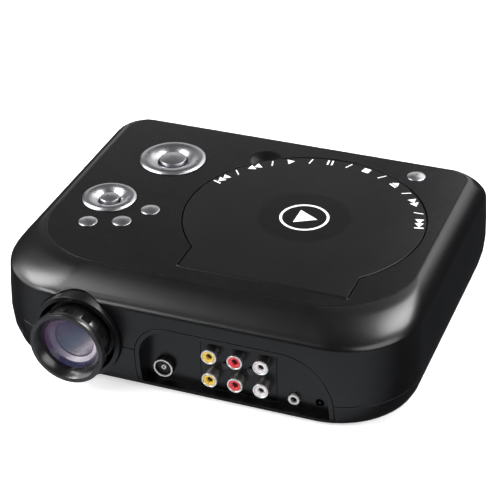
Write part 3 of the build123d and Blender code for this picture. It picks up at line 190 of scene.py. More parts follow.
# The front lower part glows as a pale floor would, because the floor is hidden from reflections.
front_glow = sky.nodes.new("ShaderNodeMath")
front_glow.operation = "MULTIPLY"
sky.links.new(sky_ramp("Y", 0.1, -0.7, 0, 1), front_glow.inputs[0])
sky.links.new(sky_ramp("Z", 0.0, -0.4, dim_strength, floor_glow), front_glow.inputs[1])
least_glow = sky.nodes.new("ShaderNodeMath")
least_glow.operation = "MAXIMUM"
least_glow.inputs[1].default_value = dim_strength
sky.links.new(front_glow.outputs[0], least_glow.inputs[0])
sky.links.new(least_glow.outputs[0], dim.inputs["Strength"])
sky.links.new(seen.outputs["Is Camera Ray"], mixer.inputs[0])
sky.links.new(dim.outputs[0], mixer.inputs[1])
sky.links.new(pale.outputs[0], mixer.inputs[2])
sky.links.new(mixer.outputs[0], sky.nodes["World Output"].inputs["Surface"])

floor_bm = bmesh.new()
bmesh.ops.create_grid(floor_bm, x_segments=1, y_segments=1, size=6)
floor_mesh = bpy.data.meshes.new("floor")
floor_bm.to_mesh(floor_mesh)
floor_bm.free()
floor = bpy.data.objects.new("floor", floor_mesh)
scene.collection.objects.link(floor)
floor_finish = Finish("pale_floor", Base_Color=(0.93, 0.93, 0.94, 1), Roughness=0.16)
floor_finish.shader.inputs["Emission Color"].default_value = (1, 1, 1, 1)
floor_finish.shader.inputs["Emission Strength"].default_value = 0.5
floor_mesh.materials.append(floor_finish.material)
floor.visible_glossy = False

# ---- Case shells ----
# Upper and lower shell: injection-moulded black plastic with a satin skin, screwed together from
# below. The seam runs round the waist and steps up beside the lens.
case_black = Finish("case_black", Specular_IOR_Level=0.42)
case_grain = case_black.noise(2600, 2)
case_cloud = case_black.noise(34, 3)
case_black.tint((0.0018, 0.0018, 0.0021), (0.0034, 0.0034, 0.0038), case_cloud)
case_black.rough(0.26, 0.31, case_black.noise(120, 4))
case_black.bump(case_grain, 0.012, 0.35)


weld_distance, flat_angle = 0.002, 0.6


def bare_copy(node):
    """A CAD node's mesh as a merged bmesh, its flat areas made single faces."""
    form = bmesh.new()
    form.from_mesh(nodes[node].data)
    bmesh.ops.remove_doubles(form, verts=form.verts, dist=weld_distance * mm)
    bmesh.ops.dissolve_limit(form, angle_limit=radians(flat_angle), verts=form.verts, edges=form.edges)
    return form


def shade(form, crease=32):
    """Smooth shading, with the edges sharper than the crease angle kept hard."""
    for face in form.faces:
        face.smooth = True
    for edge in form.edges:
        edge.smooth = len(edge.link_faces) == 2 and edge.calc_face_angle(0) < radians(crease)


def set_out(form, name, body, finish, replaced=(), bevel=0.0):
    """Makes the piece's object, gives it its finish, hangs it on its body and hides the CAD nodes it
    replaces.
    """
    mesh = bpy.data.meshes.new(name)
    form.to_mesh(mesh)
    form.free()
    piece = bpy.data.objects.new(name, mesh)
    scene.collection.objects.link(piece)
    mesh.materials.append(finish.material)
    if bevel:
        softener = piece.modifiers.new("edge", "BEVEL")
        softener.width = bevel * mm
        softener.segments = 2
        softener.limit_method = "ANGLE"
        softener.angle_limit = radians(38)
        softener.harden_normals = False
        steady = piece.modifiers.new("normals", "WEIGHTED_NORMAL")
        steady.keep_sharp = True
    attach(piece, body)
    if replaced:
        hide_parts(*replaced)
    return piece


for node in ("upper_shell", "lower_shell"):
    shell = bare_copy(node)
    shade(shell)
    set_out(shell, "moulded_" + node, "housing", case_black, [node], 0.22)

# ---- Deck plate ----
# The flat plate let into the top of the case, finely grained, with the lid's opening, the scoop
# for a fingertip and the holes for the keys.
deck_black = Finish("deck_black", Specular_IOR_Level=0.22)
deck_grain = deck_black.noise(3400, 2)
deck_black.tint((0.0018, 0.0018, 0.0019), (0.0032, 0.0032, 0.0033), deck_black.noise(26, 3))
deck_black.rough(0.23, 0.30, deck_black.noise(160, 4))
deck_black.bump(deck_grain, 0.02, 0.45)
deck = bare_copy("top_panel")
shade(deck)
set_out(deck, "deck_plate", "housing", deck_black, ["top_panel"], 0.22)

# ---- Disc lid ----
# Round hinged lid with a squared front edge. Its fine surface is brushed very faintly about the
# middle, where the disc's printed mark sits.
lid_centre = (29.5, 16.8)
lid_black = Finish("lid_black", Specular_IOR_Level=0.26)
lid_place = lid_black.place((*lid_centre, 0))
lid_apart = lid_black.node(
    "ShaderNodeVectorMath", {"operation": "MULTIPLY"}, {0: lid_place, 1: (1, 1, 0)})
lid_radius = lid_black.node("ShaderNodeVectorMath", {"operation": "LENGTH"}, {0: lid_apart}, "Value")
ring_values = {"W": lid_radius, "Scale": 5200, "Detail": 2}
lid_rings = lid_black.node("ShaderNodeTexNoise", {"noise_dimensions": "1D"}, ring_values)
middle_values = {"Value": lid_radius, "From Min": 0.024, "From Max": 0.026}
lid_middle = lid_black.node("ShaderNodeMapRange", {}, middle_values)
lid_shade = lid_black.noise(22, 3) * 0.45 + lid_middle * 0.4
lid_black.tint((0.0018, 0.0018, 0.0019), (0.0052, 0.0050, 0.0049), lid_shade)
lid_black.rough(0.22, 0.29, lid_black.noise(160, 4))
lid_black.bump(lid_rings * 0.5 + lid_black.noise(3400, 2), 0.018, 0.4)
lid = bare_copy("disc_lid")
shade(lid)
set_out(lid, "lid_plate", "lid", lid_black, ["disc_lid"], 0.25)

# ---- Marks printed on the lid ----
# White pad-printed transport symbols in an arc along the lid's back edge, and one play mark in a
# ring at the middle.
mark_white = Finish("mark_white", Roughness=0.5)
mark_white.tint((0.72, 0.72, 0.72), (0.84, 0.84, 0.84), mark_white.noise(900, 3))
mark_top = 60.0
mark_height = 0.03
arc_radius = 61.8
letter = 5.0


def flat_prism(form, corners, spot, turn):
    """A thin printed patch from its corners in mm, turned and moved to its spot."""
    ends = [form.verts.new((x * mm, y * mm, 0)) for x, y in corners]
    patch = form.faces.new(ends)
    raised = bmesh.ops.extrude_face_region(form, geom=[patch])
    lifted = [item for item in raised["geom"] if isinstance(item, bmesh.types.BMVert)]
    bmesh.ops.translate(form, verts=lifted, vec=(0, 0, mark_height * mm))
    moved = set(ends) | set(lifted)
    placing = Matrix.Translation(Vector(spot) * mm) @ Matrix.Rotation(turn, 4, "Z")
    bmesh.ops.transform(form, matrix=placing, verts=list(moved))


def oblong(left, low, right, high):
    """Corners of an upright rectangle."""
    return [(left, low), (right, low), (right, high), (left, high)]


half = letter / 2
triangle_right = [(-half * 0.8, -half), (half * 0.8, 0), (-half * 0.8, half)]
triangle_left = [(half * 0.8, -half), (half * 0.8, half), (-half * 0.8, 0)]
triangle_up = [(-half, -half * 0.25), (half, -half * 0.25), (0, half)]
under_bar = oblong(-half, -half, half, -half * 0.55)
square = oblong(-half * 0.85, -half * 0.85, half * 0.85, half * 0.85)
upright = oblong(-0.5, -half, 0.5, half)
slash = [(-1.3, -half), (-0.6, -half), (1.3, half), (0.6, half)]


def shifted(corners, by):
    return [(x + by, y) for x, y in corners]


symbols = [
    [shifted(upright, -4.2), shifted(triangle_left, -1.3), shifted(triangle_left, 2.6)],
    [shifted(triangle_left, -2.0), shifted(triangle_left, 2.0)],
    [triangle_right],
    [shifted(upright, -1.2), shifted(upright, 1.2)],
    [square],
    [triangle_up, under_bar],
    [shifted(triangle_right, -2.0), shifted(triangle_right, 2.0)],
    [shifted(triangle_right, -2.6), shifted(triangle_right, 1.3), shifted(upright, 4.2)],
]
arc_start, arc_end = radians(157), radians(13)
marks = bmesh.new()
steps = 2 * len(symbols) - 2
for step in range(steps + 1):
    angle = arc_start + (arc_end - arc_start) * step / steps
    x, y = (middle + arc_radius * part(angle) for middle, part in zip(lid_centre, (cos, sin)))
    for corners in [slash] if step % 2 else symbols[step // 2]:
        flat_prism(marks, corners, (x, y, mark_top), angle - pi / 2)
flat_prism(marks, [(-4.2, -6.6), (7.4, 0), (-4.2, 6.6)], (*lid_centre, mark_top), 0)
ring_outer, ring_inner, ring_points = 13.5, 12.1, 72
across_ring = [
    (ring_inner, 0), (ring_outer, 0), (ring_outer, mark_height), (ring_inner, mark_height),
]
ring_ends = [marks.verts.new(Vector((lid_centre[0] + r, lid_centre[1], mark_top + h)) * mm)
             for r, h in across_ring]
ring_edges = [marks.edges.new(pair) for pair in zip(ring_ends, ring_ends[1:] + ring_ends[:1])]
bmesh.ops.spin(
    marks, geom=ring_ends + ring_edges, cent=Vector((*lid_centre, 0)) * mm, axis=(0, 0, 1),
    angle=2 * pi, steps=ring_points, use_merge=True)
bmesh.ops.remove_doubles(marks, verts=marks.verts, dist=0.0005 * mm)
bmesh.ops.recalc_face_normals(marks, faces=marks.faces)
set_out(marks, "lid_marks", "lid", mark_white)

# ---- Keys ----
# Satin-plated plastic: two dished four-way rings that rock, a domed button in each, and four
# small round keys, each standing a little proud of the deck.
plated = Finish("satin_plating", Metallic=1.0)
plated.tint((0.38, 0.38, 0.40), (0.46, 0.46, 0.48), plated.noise(60, 3))
plated.rough(0.26, 0.32, plated.noise(160, 3))
plated.bump(plated.noise(700, 2), 0.002, 0.15)


def turned(points, spot, axis="Z", steps=96, bevel=0.0, closed=True):
    """A form spun from (radius, height) points in mm about an axis through the spot."""
    form = bmesh.new()
    ends = [form.verts.new((r * mm, 0, h * mm)) for r, h in points]
    pairs = list(zip(ends, ends[1:]))
    if closed and not (points[0][0] == 0 and points[-1][0] == 0):
        pairs.append((ends[-1], ends[0]))
    edges = [form.edges.new(pair) for pair in pairs]
    bmesh.ops.spin(
        form, geom=ends + edges, cent=(0, 0, 0), axis=(0, 0, 1), angle=2 * pi, steps=steps,
        use_merge=True)
    bmesh.ops.remove_doubles(form, verts=form.verts, dist=0.0005 * mm)
    bmesh.ops.recalc_face_normals(form, faces=form.faces)
    if bevel:
        hard = [edge for edge in form.edges if edge.calc_face_angle(0) > radians(38)]
        bmesh.ops.bevel(
            form, geom=hard, offset=bevel * mm, offset_type="OFFSET", segments=2, profile=0.5,
            affect="EDGES", material=-1, clamp_overlap=True)
    lay = Matrix.Rotation(-pi / 2, 4, "X") if axis == "Y" else Matrix.Identity(4)
    placing = Matrix.Translation(Vector(spot) * mm) @ lay
    bmesh.ops.transform(form, matrix=placing, verts=form.verts)
    shade(form, 40)
    return form


def crown(radius, edge, top, count=8):
    """Points of a shallow dome from its edge to its middle."""
    ball = (radius ** 2 + (top - edge) ** 2) / (2 * (top - edge))
    reach = [radius * (1 - k / count) for k in range(count + 1)]
    return [(r, top - ball + sqrt(ball ** 2 - r ** 2)) for r in reach]


ring_low, ring_lip, deck_top = 54.9, 55.9, 60.0
key_foot, key_lip, key_flange, stem_radius = 53.15, 56.7, 0.9, 2.5
crown_edge, crown_top = deck_top + 0.4, deck_top + 1.2
rings = {
    "menu_ring": ("menu_rocker", (-62.5, 53.2), 19.0, 8.5),
    "volume_ring": ("volume_rocker", (-78.6, 1.3), 15.2, 6.2),
}


def ring_height(share):
    """Height of a ring's dished top, from its hole (0) to its outer edge (1)."""
    stops = [
        (0, -1.5), (0.08, -0.9), (0.18, -0.2), (0.3, 0.45), (0.43, 0.98), (0.56, 1.34),
        (0.68, 1.47), (0.8, 1.34), (0.91, 0.95), (1, 0.3),
    ]
    for (a, low), (b, high) in zip(stops, stops[1:]):
        if share <= b:
            return deck_top + low + (high - low) * (share - a) / (b - a)
    return deck_top + stops[-1][1]


ring_flange, ring_spans = 1.5, 32
for name, (body, (x, y), radius, hole) in rings.items():
    shares = [k / ring_spans for k in range(ring_spans + 1)]
    top = [(hole + (radius - hole) * share, ring_height(share)) for share in shares]
    outside = radius + ring_flange
    flange = [(radius, ring_lip), (outside, ring_lip), (outside, ring_low), (hole, ring_low)]
    form = turned(top + flange, (x, y, 0), bevel=0.18)
    set_out(form, "plated_" + name, body, plated, [name])

buttons = {
    "menu_button": ("menu_center", (-62.5, 53.2), 7.7, ring_low),
    "play_button": ("play_center", (-78.6, 1.3), 5.4, ring_low),
    "source_key": ("source_push", (-78.9, -26.1), 5.2, 55.7),
    "setup_key": ("setup_push", (-61.8, -19.8), 5.2, 55.7),
    "stop_key": ("stop_push", (-51.9, -3.9), 5.2, 55.7),
    "power_key": ("power_push", (74.2, 79.1), 5.2, 55.7),
}
for name, (body, (x, y), radius, low) in buttons.items():
    head = crown(radius, crown_edge, crown_top)[::-1]
    side = [(radius, low), (stem_radius, low)]
    if name.endswith("key"):
        outside = radius + key_flange
        side = [(radius, key_lip), (outside, key_lip), (outside, low), (stem_radius, low)]
    foot = [(stem_radius, key_foot), (0, key_foot)]
    form = turned(head + side + foot, (x, y, 0), bevel=0.15)
    set_out(form, "plated_" + name, body, plated, [name])

# ---- Marks on the keys ----
# Small dark symbols printed on the plated keys: arrows on the rings, a shape on each button.
mark_dark = Finish("mark_dark", Roughness=0.45)
mark_dark.tint((0.03, 0.03, 0.035), (0.06, 0.06, 0.065), mark_dark.noise(900, 3))


def draped(form, height):
    """Moves a flat print up onto a curved top: height(x, y) in metres."""
    lowest = min(vert.co.z for vert in form.verts)
    for vert in form.verts:
        vert.co.z = height(vert.co.x, vert.co.y) + 0.01 * mm + (vert.co.z - lowest)


for name, (body, (x, y), radius, hole) in rings.items():
    arrows = bmesh.new()
    reach = hole + (radius - hole) * 0.62
    for turn in (0, 90, 180, 270):
        direction = radians(turn)
        spot = (x + reach * cos(direction), y + reach * sin(direction), 0)
        flat_prism(arrows, [(-0.7, -1.0), (0.9, 0), (-0.7, 1.0)], spot, direction)
    bmesh.ops.subdivide_edges(arrows, edges=arrows.edges, cuts=2, use_grid_fill=True)
    bmesh.ops.recalc_face_normals(arrows, faces=arrows.faces)

    def ring_top(px, py):
        apart = hypot(px / mm - x, py / mm - y)
        return ring_height((apart - hole) / (radius - hole)) * mm

    draped(arrows, ring_top)
    set_out(arrows, name + "_arrows", body, mark_dark)

small_marks = {
    "menu_button": [
        oblong(-2.2, 1.2, 2.2, 1.7), oblong(-2.2, -0.25, 2.2, 0.25), oblong(-2.2, -1.7, 2.2, -1.2),
    ],
    "play_button": [
        [(-1.9, -1.4), (0.3, 0), (-1.9, 1.4)],
        oblong(0.8, -1.4, 1.2, 1.4), oblong(1.7, -1.4, 2.1, 1.4),
    ],
    "source_key": [oblong(-1.8, -1.1, 0.4, 1.1), [(0.8, -0.9), (2.0, 0), (0.8, 0.9)]],
    "setup_key": [oblong(-1.8, 0.4, 1.8, 0.8), oblong(-1.8, -0.8, 1.8, -0.4)],
    "stop_key": [oblong(-1.2, -1.2, 1.2, 1.2)],
    "power_key": [oblong(-0.25, -0.2, 0.25, 2.0)],
}
rise = crown_top - crown_edge
for name, shapes in small_marks.items():
    body, (x, y), radius, low = buttons[name]
    mark = bmesh.new()
    for corners in shapes:
        flat_prism(mark, corners, (x, y, 0), 0)
    bmesh.ops.subdivide_edges(mark, edges=mark.edges, cuts=2, use_grid_fill=True)
    bmesh.ops.recalc_face_normals(mark, faces=mark.faces)
    ball = (radius ** 2 + rise ** 2) / (2 * rise)

    def button_top(px, py):
        apart = hypot(px / mm - x, py / mm - y)
        return (crown_top - ball + sqrt(ball ** 2 - apart ** 2)) * mm

    draped(mark, button_top)
    set_out(mark, name + "_mark", body, mark_dark)

# ---- Lens hood ----
# Round hood of the case around the lens, a separate ring held from behind by its flange.
hood = bare_copy("lens_collar")
shade(hood)
set_out(hood, "lens_hood", "housing", case_black, ["lens_collar"], 0.35)

# ---- Focus ring ----
# Semi-gloss black rim with a shallow cone towards the glass and twelve raised lugs behind it, the
# grip that fingers turn to focus.
lens_spot = (-59.0, 0, 29.5)
rim_front = -99.5
lens_black = Finish("lens_black", Specular_IOR_Level=0.6)
lens_black.tint((0.005, 0.005, 0.0055), (0.010, 0.010, 0.0105), lens_black.noise(80, 3))
lens_black.rough(0.22, 0.30, lens_black.noise(300, 4))
lens_black.bump(lens_black.noise(2400, 2), 0.01, 0.35)
rim_back = rim_front + 3.6
ring_profile = [
    (18.3, rim_front), (20.5, rim_front), (20.5, rim_back), (18.4, rim_back),
    (18.4, rim_front + 13.5), (17.05, rim_front + 13.5), (17.05, rim_front + 4.0),
    (15.2, rim_front + 4.0),
]
focus = turned(ring_profile, lens_spot, "Y", 128, bevel=0.3)
lug_count, lug_width, lug_length, lug_height, lug_middle = 12, 5.2, 5.5, 2.3, 18.55
for step in range(lug_count):
    lug = bmesh.ops.create_cube(focus, size=1)["verts"]
    bmesh.ops.scale(focus, verts=lug, vec=Vector((lug_width, lug_length, lug_height)) * mm)
    out_from_axis = Vector((0, rim_back + lug_length / 2, lug_middle)) * mm
    bmesh.ops.translate(focus, verts=lug, vec=out_from_axis)
    rounded = bmesh.ops.bevel(
        focus, geom=list({e for v in lug for e in v.link_edges}), offset=0.35 * mm,
        offset_type="OFFSET", segments=2, profile=0.5, affect="EDGES", material=-1)
    lug_verts = list({v for f in rounded["faces"] for v in f.verts})
    turn = Matrix.Rotation(2 * pi * (step + 0.5) / lug_count, 4, "Y")
    placing = Matrix.Translation(Vector(lens_spot) * mm) @ turn
    bmesh.ops.transform(focus, matrix=placing, verts=lug_verts)
shade(focus, 40)
set_out(focus, "focus_grip", "focus", lens_black, ["focus_ring"])

# ---- Lens barrel and glass ----
# The barrel holds a thin domed front element, two stepped rings with an inner element behind it, and a
# rear element. The coatings go from violet and dark blue to a pale lilac at the lower right; on the
# two steps and the inner element this run towards a paler lower right is painted light, and they glow
# though they are no lamp.
barrel_front, barrel_back, barrel_bore, barrel_outside = -95.2, -52.2, 15.2, 17.0
stop_front, stop_back, stop_radius = -69.2, -68.0, 11.0
barrel_profile = [
    (barrel_bore, barrel_front), (barrel_outside, barrel_front), (barrel_outside, barrel_back),
    (barrel_bore, barrel_back), (barrel_bore, stop_back), (stop_radius, stop_back),
    (stop_radius, stop_front), (barrel_bore, stop_front),
]
barrel = turned(barrel_profile, lens_spot, "Y", 96, bevel=0.1)
set_out(barrel, "barrel_tube", "barrel", lens_black, ["lens_barrel"])


def coated(name, stops, reach, alpha=1.0):
    """Glass whose coating's colour changes with the distance from the lens axis."""
    finish = Finish(
        name, Roughness=0.05, IOR=1.6, Coat_Weight=1.0, Coat_Roughness=0.02, Alpha=alpha)
    flat = finish.node(
        "ShaderNodeVectorMath", {"operation": "MULTIPLY"}, {0: finish.place(lens_spot), 1: (1, 0, 1)})
    apart = finish.node("ShaderNodeVectorMath", {"operation": "LENGTH"}, {0: flat}, "Value")
    share = apart * (1 / (reach * mm)) + finish.noise(60, 2) * 0.08 - 0.04
    finish.link("Base Color", finish.node("ShaderNodeValToRGB", {"stops": stops}, {"Fac": share}))
    return finish


def coating_with_painted_light(name, stops, reach, roughness, glow):
    """Coating inside the lens with painted light: its colour runs from the upper left to a paler lower
    right, and it glows though it is no lamp.
    """
    finish = Finish(name, Roughness=roughness, Coat_Weight=0.6, Emission_Strength=glow)
    slant = {0: finish.place(lens_spot), 1: (0.74, 0, -0.67)}
    fall = finish.node("ShaderNodeVectorMath", {"operation": "DOT_PRODUCT"}, slant, "Value")
    streak = finish.noise(260, 3, (1, 1, 2.6)) * 0.26 - 0.13
    share = fall * (0.5 / (reach * mm)) + 0.5 + streak
    colour = finish.node("ShaderNodeValToRGB", {"stops": stops}, {"Fac": share})
    finish.link("Base Color", colour)
    # Painted light: the colour is also the emission's, so the surface glows though it is no lamp.
    finish.link("Emission Color", colour)
    return finish


front_stops = [
    (0, (0.02, 0.025, 0.045)), (0.6, (0.03, 0.022, 0.05)), (0.9, (0.03, 0.018, 0.045)),
    (1, (0.01, 0.01, 0.015)),
]
front_coat = coated("front_coating", front_stops, barrel_bore, alpha=0.30)
front_edge, front_rise = -94.2, 2.2
front_face = [(r, front_edge - h) for r, h in crown(barrel_bore, 0, front_rise)]
front = [(0, -95.8), (13.0, -94.4), (barrel_bore, -93.7)] + front_face
form = turned(front, lens_spot, "Y", 96, closed=False)
set_out(form, "front_element", "barrel", front_coat, ["front_glass"])

violet_stops = [
    (0, (0.10, 0.045, 0.10)), (0.45, (0.02, 0.02, 0.05)), (0.75, (0.03, 0.04, 0.10)),
    (1, (0.015, 0.015, 0.035)),
]
# Painted light: the band's colour shifts from the upper left to the lower right, and it glows.
violet_band_with_painted_light = coating_with_painted_light("violet_band_with_painted_light", violet_stops, barrel_bore, 0.3, 0.7)
violet_step = [(15.15, -93.5), (13.3, -90.6), (15.15, -90.6)]
form = turned(violet_step, lens_spot, "Y", 96)
set_out(form, "violet_step", "barrel", violet_band_with_painted_light)

# Painted light: the pale lilac at the lower right stands for light falling through the glass on the
# inner bevel, and the step glows.
pale_stops = [
    (0, (0.05, 0.03, 0.06)), (0.35, (0.06, 0.055, 0.09)), (0.62, (0.17, 0.15, 0.19)),
    (0.85, (0.62, 0.57, 0.62)), (1, (0.42, 0.37, 0.43)),
]
pale_painted_light_band = coating_with_painted_light("pale_painted_light_band", pale_stops, 13.3, 0.28, 1.4)
painted_light_step = [(13.3, -91.1), (12.6, -91.0), (11.2, -90.0), (11.2, -89.0), (13.3, -89.0)]
form = turned(painted_light_step, lens_spot, "Y", 96, bevel=0.12)
set_out(form, "painted_light_step", "barrel", pale_painted_light_band)

# Painted light: the pale grey band towards the lower right is a painted highlight, and the element
# glows.
inner_stops = [
    (0, (0.03, 0.022, 0.05)), (0.3, (0.022, 0.028, 0.05)), (0.5, (0.025, 0.042, 0.07)),
    (0.68, (0.08, 0.08, 0.105)), (0.86, (0.28, 0.26, 0.28)), (1, (0.09, 0.07, 0.11)),
]
inner_glass_with_painted_light = coating_with_painted_light("inner_glass_with_painted_light", inner_stops, 11.0, 0.12, 1.4)
inner_radius, inner_back, inner_edge, inner_rise = 10.9, -87.6, -88.4, 1.2
inner_face = [(r, inner_edge - h) for r, h in crown(inner_radius, 0, inner_rise)]
inner = [(0, inner_back), (inner_radius, inner_back)] + inner_face
form = turned(inner, lens_spot, "Y", 96, closed=False)
set_out(form, "inner_element", "barrel", inner_glass_with_painted_light)

rear_stops = [
    (0, (0.10, 0.13, 0.26)), (0.35, (0.13, 0.16, 0.32)), (0.62, (0.20, 0.15, 0.33)),
    (0.84, (0.42, 0.32, 0.48)), (1, (0.03, 0.03, 0.06)),
]
rear_radius, rear_edge, rear_rise = 12.0, -74.2, 2.2
rear_coat = coated("rear_coating", rear_stops, rear_radius)
rear_face = [(r, rear_edge - h) for r, h in crown(rear_radius, 0, rear_rise)]
rear = [(0, stop_front), (rear_radius, stop_front)] + rear_face
form = turned(rear, lens_spot, "Y", 96)
set_out(form, "rear_element", "barrel", rear_coat, ["rear_glass"])

# ---- Socket bay ----
# Recessed panel for the sockets, moulded in the case's plastic, its frame flush with the wall.
bay = bare_copy("connector_bay")
shade(bay)
set_out(bay, "socket_bay", "housing", case_black, ["connector_bay"], 0.2)

# ---- Video and sound sockets ----
# Six plated barrels in a black block. Each has a rolled lip, made bright by a painted sheen in a
# lighter, half-metallic copy of the plating, and a coloured moulded insert, yellow, red or white, with
# a hole for the plug's pin whose floor is a near-black disc of painted shade.
tin = Finish("tin_plating", Metallic=1.0)
tin.tint((0.42, 0.41, 0.40), (0.54, 0.53, 0.52), tin.noise(220, 4))
tin.rough(0.30, 0.40, tin.noise(500, 3))
tin.bump(tin.noise(1800, 2), 0.002, 0.15)
# Painted sheen: a lighter, half-metallic copy of the tin plating stands in for the bright reflections
# on the lips, collar, contact and ring.
tin_with_painted_sheen = Finish("tin_with_painted_sheen", Metallic=0.5)
tin_with_painted_sheen.tint((0.50, 0.50, 0.50), (0.66, 0.66, 0.65), tin_with_painted_sheen.noise(260, 4))
tin_with_painted_sheen.rough(0.18, 0.28, tin_with_painted_sheen.noise(500, 3))
tin_with_painted_sheen.bump(tin_with_painted_sheen.noise(1800, 2), 0.002, 0.15)
black_tin = Finish("black_plating", Metallic=0.7)
black_tin.tint((0.012, 0.012, 0.012), (0.03, 0.03, 0.03), black_tin.noise(300, 3))
black_tin.rough(0.28, 0.42, black_tin.noise(600, 3))
# Near black: in the pin holes a painted shade, on the aerial socket the black insulating disc.
painted_shade_and_disc_black = Finish("painted_shade_and_disc_black", Roughness=0.6)
painted_shade_and_disc_black.tint((0.006, 0.004, 0.005), (0.016, 0.010, 0.012), painted_shade_and_disc_black.noise(900, 2))
columns, rows = (12.2, 26.2, 40.2), (15.0, 29.4)
wall_back, lip_front, lip_back, hole_radius, hole_floor = -69.5, -81.7, -80.8, 1.6, -79.4


def socket_set(profile, places, bevel):
    """The same turned form at several places (x, z) on the bay's wall, as one form."""
    whole = bmesh.new()
    for x, z in places:
        one = turned(profile, (x, 0, z), "Y", 48, bevel)
        spare = bpy.data.meshes.new("spare")
        one.to_mesh(spare)
        one.free()
        whole.from_mesh(spare)
        bpy.data.meshes.remove(spare)
    shade(whole, 40)
    return whole


all_places = [(x, z) for x in columns for z in rows]
barrel_wall = [(3.6, -80.9), (4.1, -80.9), (4.1, wall_back), (3.6, wall_back)]
form = socket_set(barrel_wall, all_places, 0.05)
set_out(form, "socket_barrels", "housing", tin, ["socket_shells"])
rolled_lip = [
    (3.3, -81.4), (3.6, lip_front), (4.0, lip_front), (4.15, -81.5), (4.15, lip_back),
    (3.3, lip_back),
]
form = socket_set(rolled_lip, all_places, 0.08)
set_out(form, "socket_lips", "housing", tin_with_painted_sheen)
# A near-black disc at the floor of each pin hole: painted shade.
pin_shade_profile = [(0, -79.6), (hole_radius, -79.6), (hole_radius, -79.3), (0, -79.3)]
form = socket_set(pin_shade_profile, all_places, 0)
set_out(form, "socket_hole_painted_shade", "housing", painted_shade_and_disc_black)
core = [
    (3.25, -81.3), (3.5, -80.7), (3.5, wall_back), (0, wall_back), (0, hole_floor),
    (1.62, hole_floor), (1.62, -80.7), (1.95, -81.1),
]
insert_colours = {
    "yellow_inserts": ("yellow_plastic", (0.50, 0.31, 0.02), (0.64, 0.42, 0.04)),
    "red_inserts": ("red_plastic", (0.42, 0.012, 0.02), (0.58, 0.025, 0.03)),
    "white_inserts": ("white_plastic", (0.46, 0.43, 0.45), (0.58, 0.55, 0.57)),
}
for x, (name, (slot, low, high)) in zip(columns, insert_colours.items()):
    colour = Finish(name.replace("inserts", "moulding"), Coat_Weight=0.3)
    colour.tint(low, high, colour.noise(260, 3))
    colour.rough(0.25, 0.38, colour.noise(500, 3))
    colour.bump(colour.noise(1600, 2), 0.01, 0.3)
    inserts = socket_set(core, [(x, z) for z in rows], 0.1)
    set_out(inserts, "coloured_" + name, "housing", colour, [name])

# ---- Aerial and headphone sockets ----
# The aerial socket is a dark can with a thin collar and a tubular contact in a black insulating disc;
# the headphone socket shows a small ring. The collar, the contact and the ring are made bright by a
# painted sheen: a lighter, half-metallic copy of the plating.
aerial_spot, phone_spot = (-14.5, 0, 14.5), (56.6, 0, 10.9)
contact_back = -73.3
aerial = bare_copy("tuner_socket")
shade(aerial, 30)
set_out(aerial, "aerial_can", "housing", black_tin, ["tuner_socket"], 0.12)
collar = [(4.5, -79.1), (5.2, -79.1), (5.2, -78.2), (4.5, -78.2)]
form = turned(collar, aerial_spot, "Y", 64, 0.1)
set_out(form, "aerial_collar", "housing", tin_with_painted_sheen)
disc = [(1.3, -77.0), (4.48, -77.0), (4.48, contact_back), (1.3, contact_back)]
form = turned(disc, aerial_spot, "Y", 64, 0.1)
set_out(form, "aerial_disc", "housing", painted_shade_and_disc_black, ["tuner_contact"])
tube = [(0.7, -78.0), (1.28, -78.0), (1.28, contact_back), (0.7, contact_back)]
form = turned(tube, aerial_spot, "Y", 48, 0.1)
set_out(form, "aerial_tube", "housing", tin_with_painted_sheen)
bush = bare_copy("phone_socket")
shade(bush, 30)
set_out(bush, "headphone_body", "housing", tin, ["phone_socket"], 0.1)
bush_ring = [(1.82, -77.6), (3.0, -77.6), (3.0, -75.6), (1.82, -75.6)]
form = turned(bush_ring, phone_spot, "Y", 48, 0.15)
set_out(form, "headphone_ring", "housing", tin_with_painted_sheen)

# ---- Everything that stays as it is in the frame ----
# Moulded, stamped and soldered pieces whose shape is right already: each gets its own finish.
inner_black = Finish("inner_black")
inner_black.tint((0.016, 0.016, 0.017), (0.026, 0.026, 0.028), inner_black.noise(60, 3))
inner_black.rough(0.42, 0.56, inner_black.noise(240, 4))
inner_black.bump(inner_black.noise(2000, 3), 0.02, 0.4)
polished = Finish("polished_steel", Metallic=1.0)
polished.tint((0.42, 0.42, 0.44), (0.62, 0.62, 0.64), polished.noise(90, 4))
polished.rough(0.20, 0.36, polished.noise(700, 4, (1, 12, 1)))
polished.bump(polished.noise(1500, 3, (1, 20, 1)), 0.008, 0.3)
dark_screw = Finish("dark_screw", Metallic=0.8)
dark_screw.tint((0.03, 0.03, 0.032), (0.07, 0.07, 0.075), dark_screw.noise(600, 3))
dark_screw.rough(0.28, 0.42, dark_screw.noise(900, 3))
dark_screw.bump(dark_screw.noise(2600, 2), 0.01, 0.3)
soft_rubber = Finish("soft_rubber")
soft_rubber.tint((0.012, 0.012, 0.012), (0.024, 0.024, 0.024), soft_rubber.noise(200, 4))
soft_rubber.rough(0.65, 0.85, soft_rubber.noise(400, 3))
soft_rubber.bump(soft_rubber.noise(1200, 4), 0.04, 0.5)
natural = Finish("natural_acetal")
natural.tint((0.70, 0.69, 0.64), (0.82, 0.81, 0.76), natural.noise(120, 3))
natural.rough(0.35, 0.5, natural.noise(500, 3))
natural.bump(natural.noise(1600, 2), 0.01, 0.3)
board = Finish("circuit_board", Coat_Weight=0.4)
board_lines = board.node(
    "ShaderNodeTexVoronoi", {"feature": "DISTANCE_TO_EDGE"}, {"Vector": board.place(), "Scale": 420})
trace_values = {"Value": board_lines, "From Min": 0.02, "From Max": 0.06}
board_trace = board.node("ShaderNodeMapRange", {}, trace_values)
board.tint((0.06, 0.22, 0.10), (0.012, 0.085, 0.035), board_trace)
board.rough(0.26, 0.4, board.noise(300, 3))
board.bump(board_trace, 0.03, 0.5)
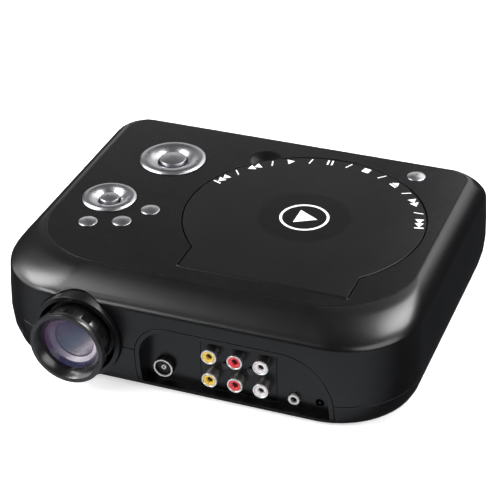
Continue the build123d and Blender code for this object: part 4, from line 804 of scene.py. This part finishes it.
finned = Finish("finned_aluminium", Metallic=1.0)
finned.tint((0.62, 0.62, 0.64), (0.78, 0.78, 0.80), finned.noise(90, 4))
finned.rough(0.30, 0.46, finned.noise(600, 4, (1, 1, 14)))
finned.bump(finned.noise(900, 3, (1, 1, 18)), 0.012, 0.4)
panel_glass = Finish("panel_glass", Coat_Weight=1.0)
panel_values = {"Vector": panel_glass.place(), "Scale": 900}
panel_lines = panel_glass.node("ShaderNodeTexWave", {"bands_direction": "X"}, panel_values)
panel_glass.tint((0.035, 0.04, 0.06), (0.06, 0.065, 0.09), panel_lines)
panel_glass.rough(0.05, 0.12, panel_glass.noise(200, 3))
optical = Finish("optical_plastic", IOR=1.49, Transmission_Weight=0.9)
optical.tint((0.82, 0.85, 0.88), (0.92, 0.94, 0.96), optical.noise(90, 2))
optical.rough(0.02, 0.07, optical.noise(300, 3))
lamp_white = Finish("lamp_board_white", Coat_Weight=0.2)
lamp_white.tint((0.74, 0.74, 0.70), (0.84, 0.84, 0.80), lamp_white.noise(180, 3))
lamp_white.rough(0.3, 0.45, lamp_white.noise(400, 3))
lamp_white.bump(lamp_white.noise(1200, 2), 0.02, 0.3)
cone_paper = Finish("speaker_paper")
cone_paper.tint((0.02, 0.02, 0.02), (0.05, 0.05, 0.048), cone_paper.noise(900, 4))
cone_paper.rough(0.7, 0.9, cone_paper.noise(500, 3))
cone_paper.bump(cone_paper.noise(1800, 4), 0.05, 0.6)
carried = {
    inner_black: [
        "disc_well", "spindle_hub", "pickup_sled", "light_box", "fan_frame", "fan_rotor",
        "key_switches", "lens_holder", "board_parts",
    ],
    case_black: ["socket_block", "power_inlet"],
    polished: ["hinge_pins", "drive_chassis", "guide_rods", "spindle_motor", "feed_motor"],
    dark_screw: ["case_screws", "small_screws"],
    soft_rubber: ["rubber_feet", "chassis_dampers"],
    natural: ["menu_gimbal", "volume_gimbal", "motor_pinion", "feed_gear"],
    board: ["key_board", "main_board"],
    finned: ["heat_sink"],
    panel_glass: ["image_panel"],
    optical: ["objective_lens", "fresnel_lens", "condenser_lens"],
    lamp_white: ["lamp_module"],
    tin: ["usb_socket", "card_socket"],
    cone_paper: ["speaker"],
}
for finish, names in carried.items():
    for name in names:
        nodes[name].data.materials.clear()
        nodes[name].data.materials.append(finish.material)
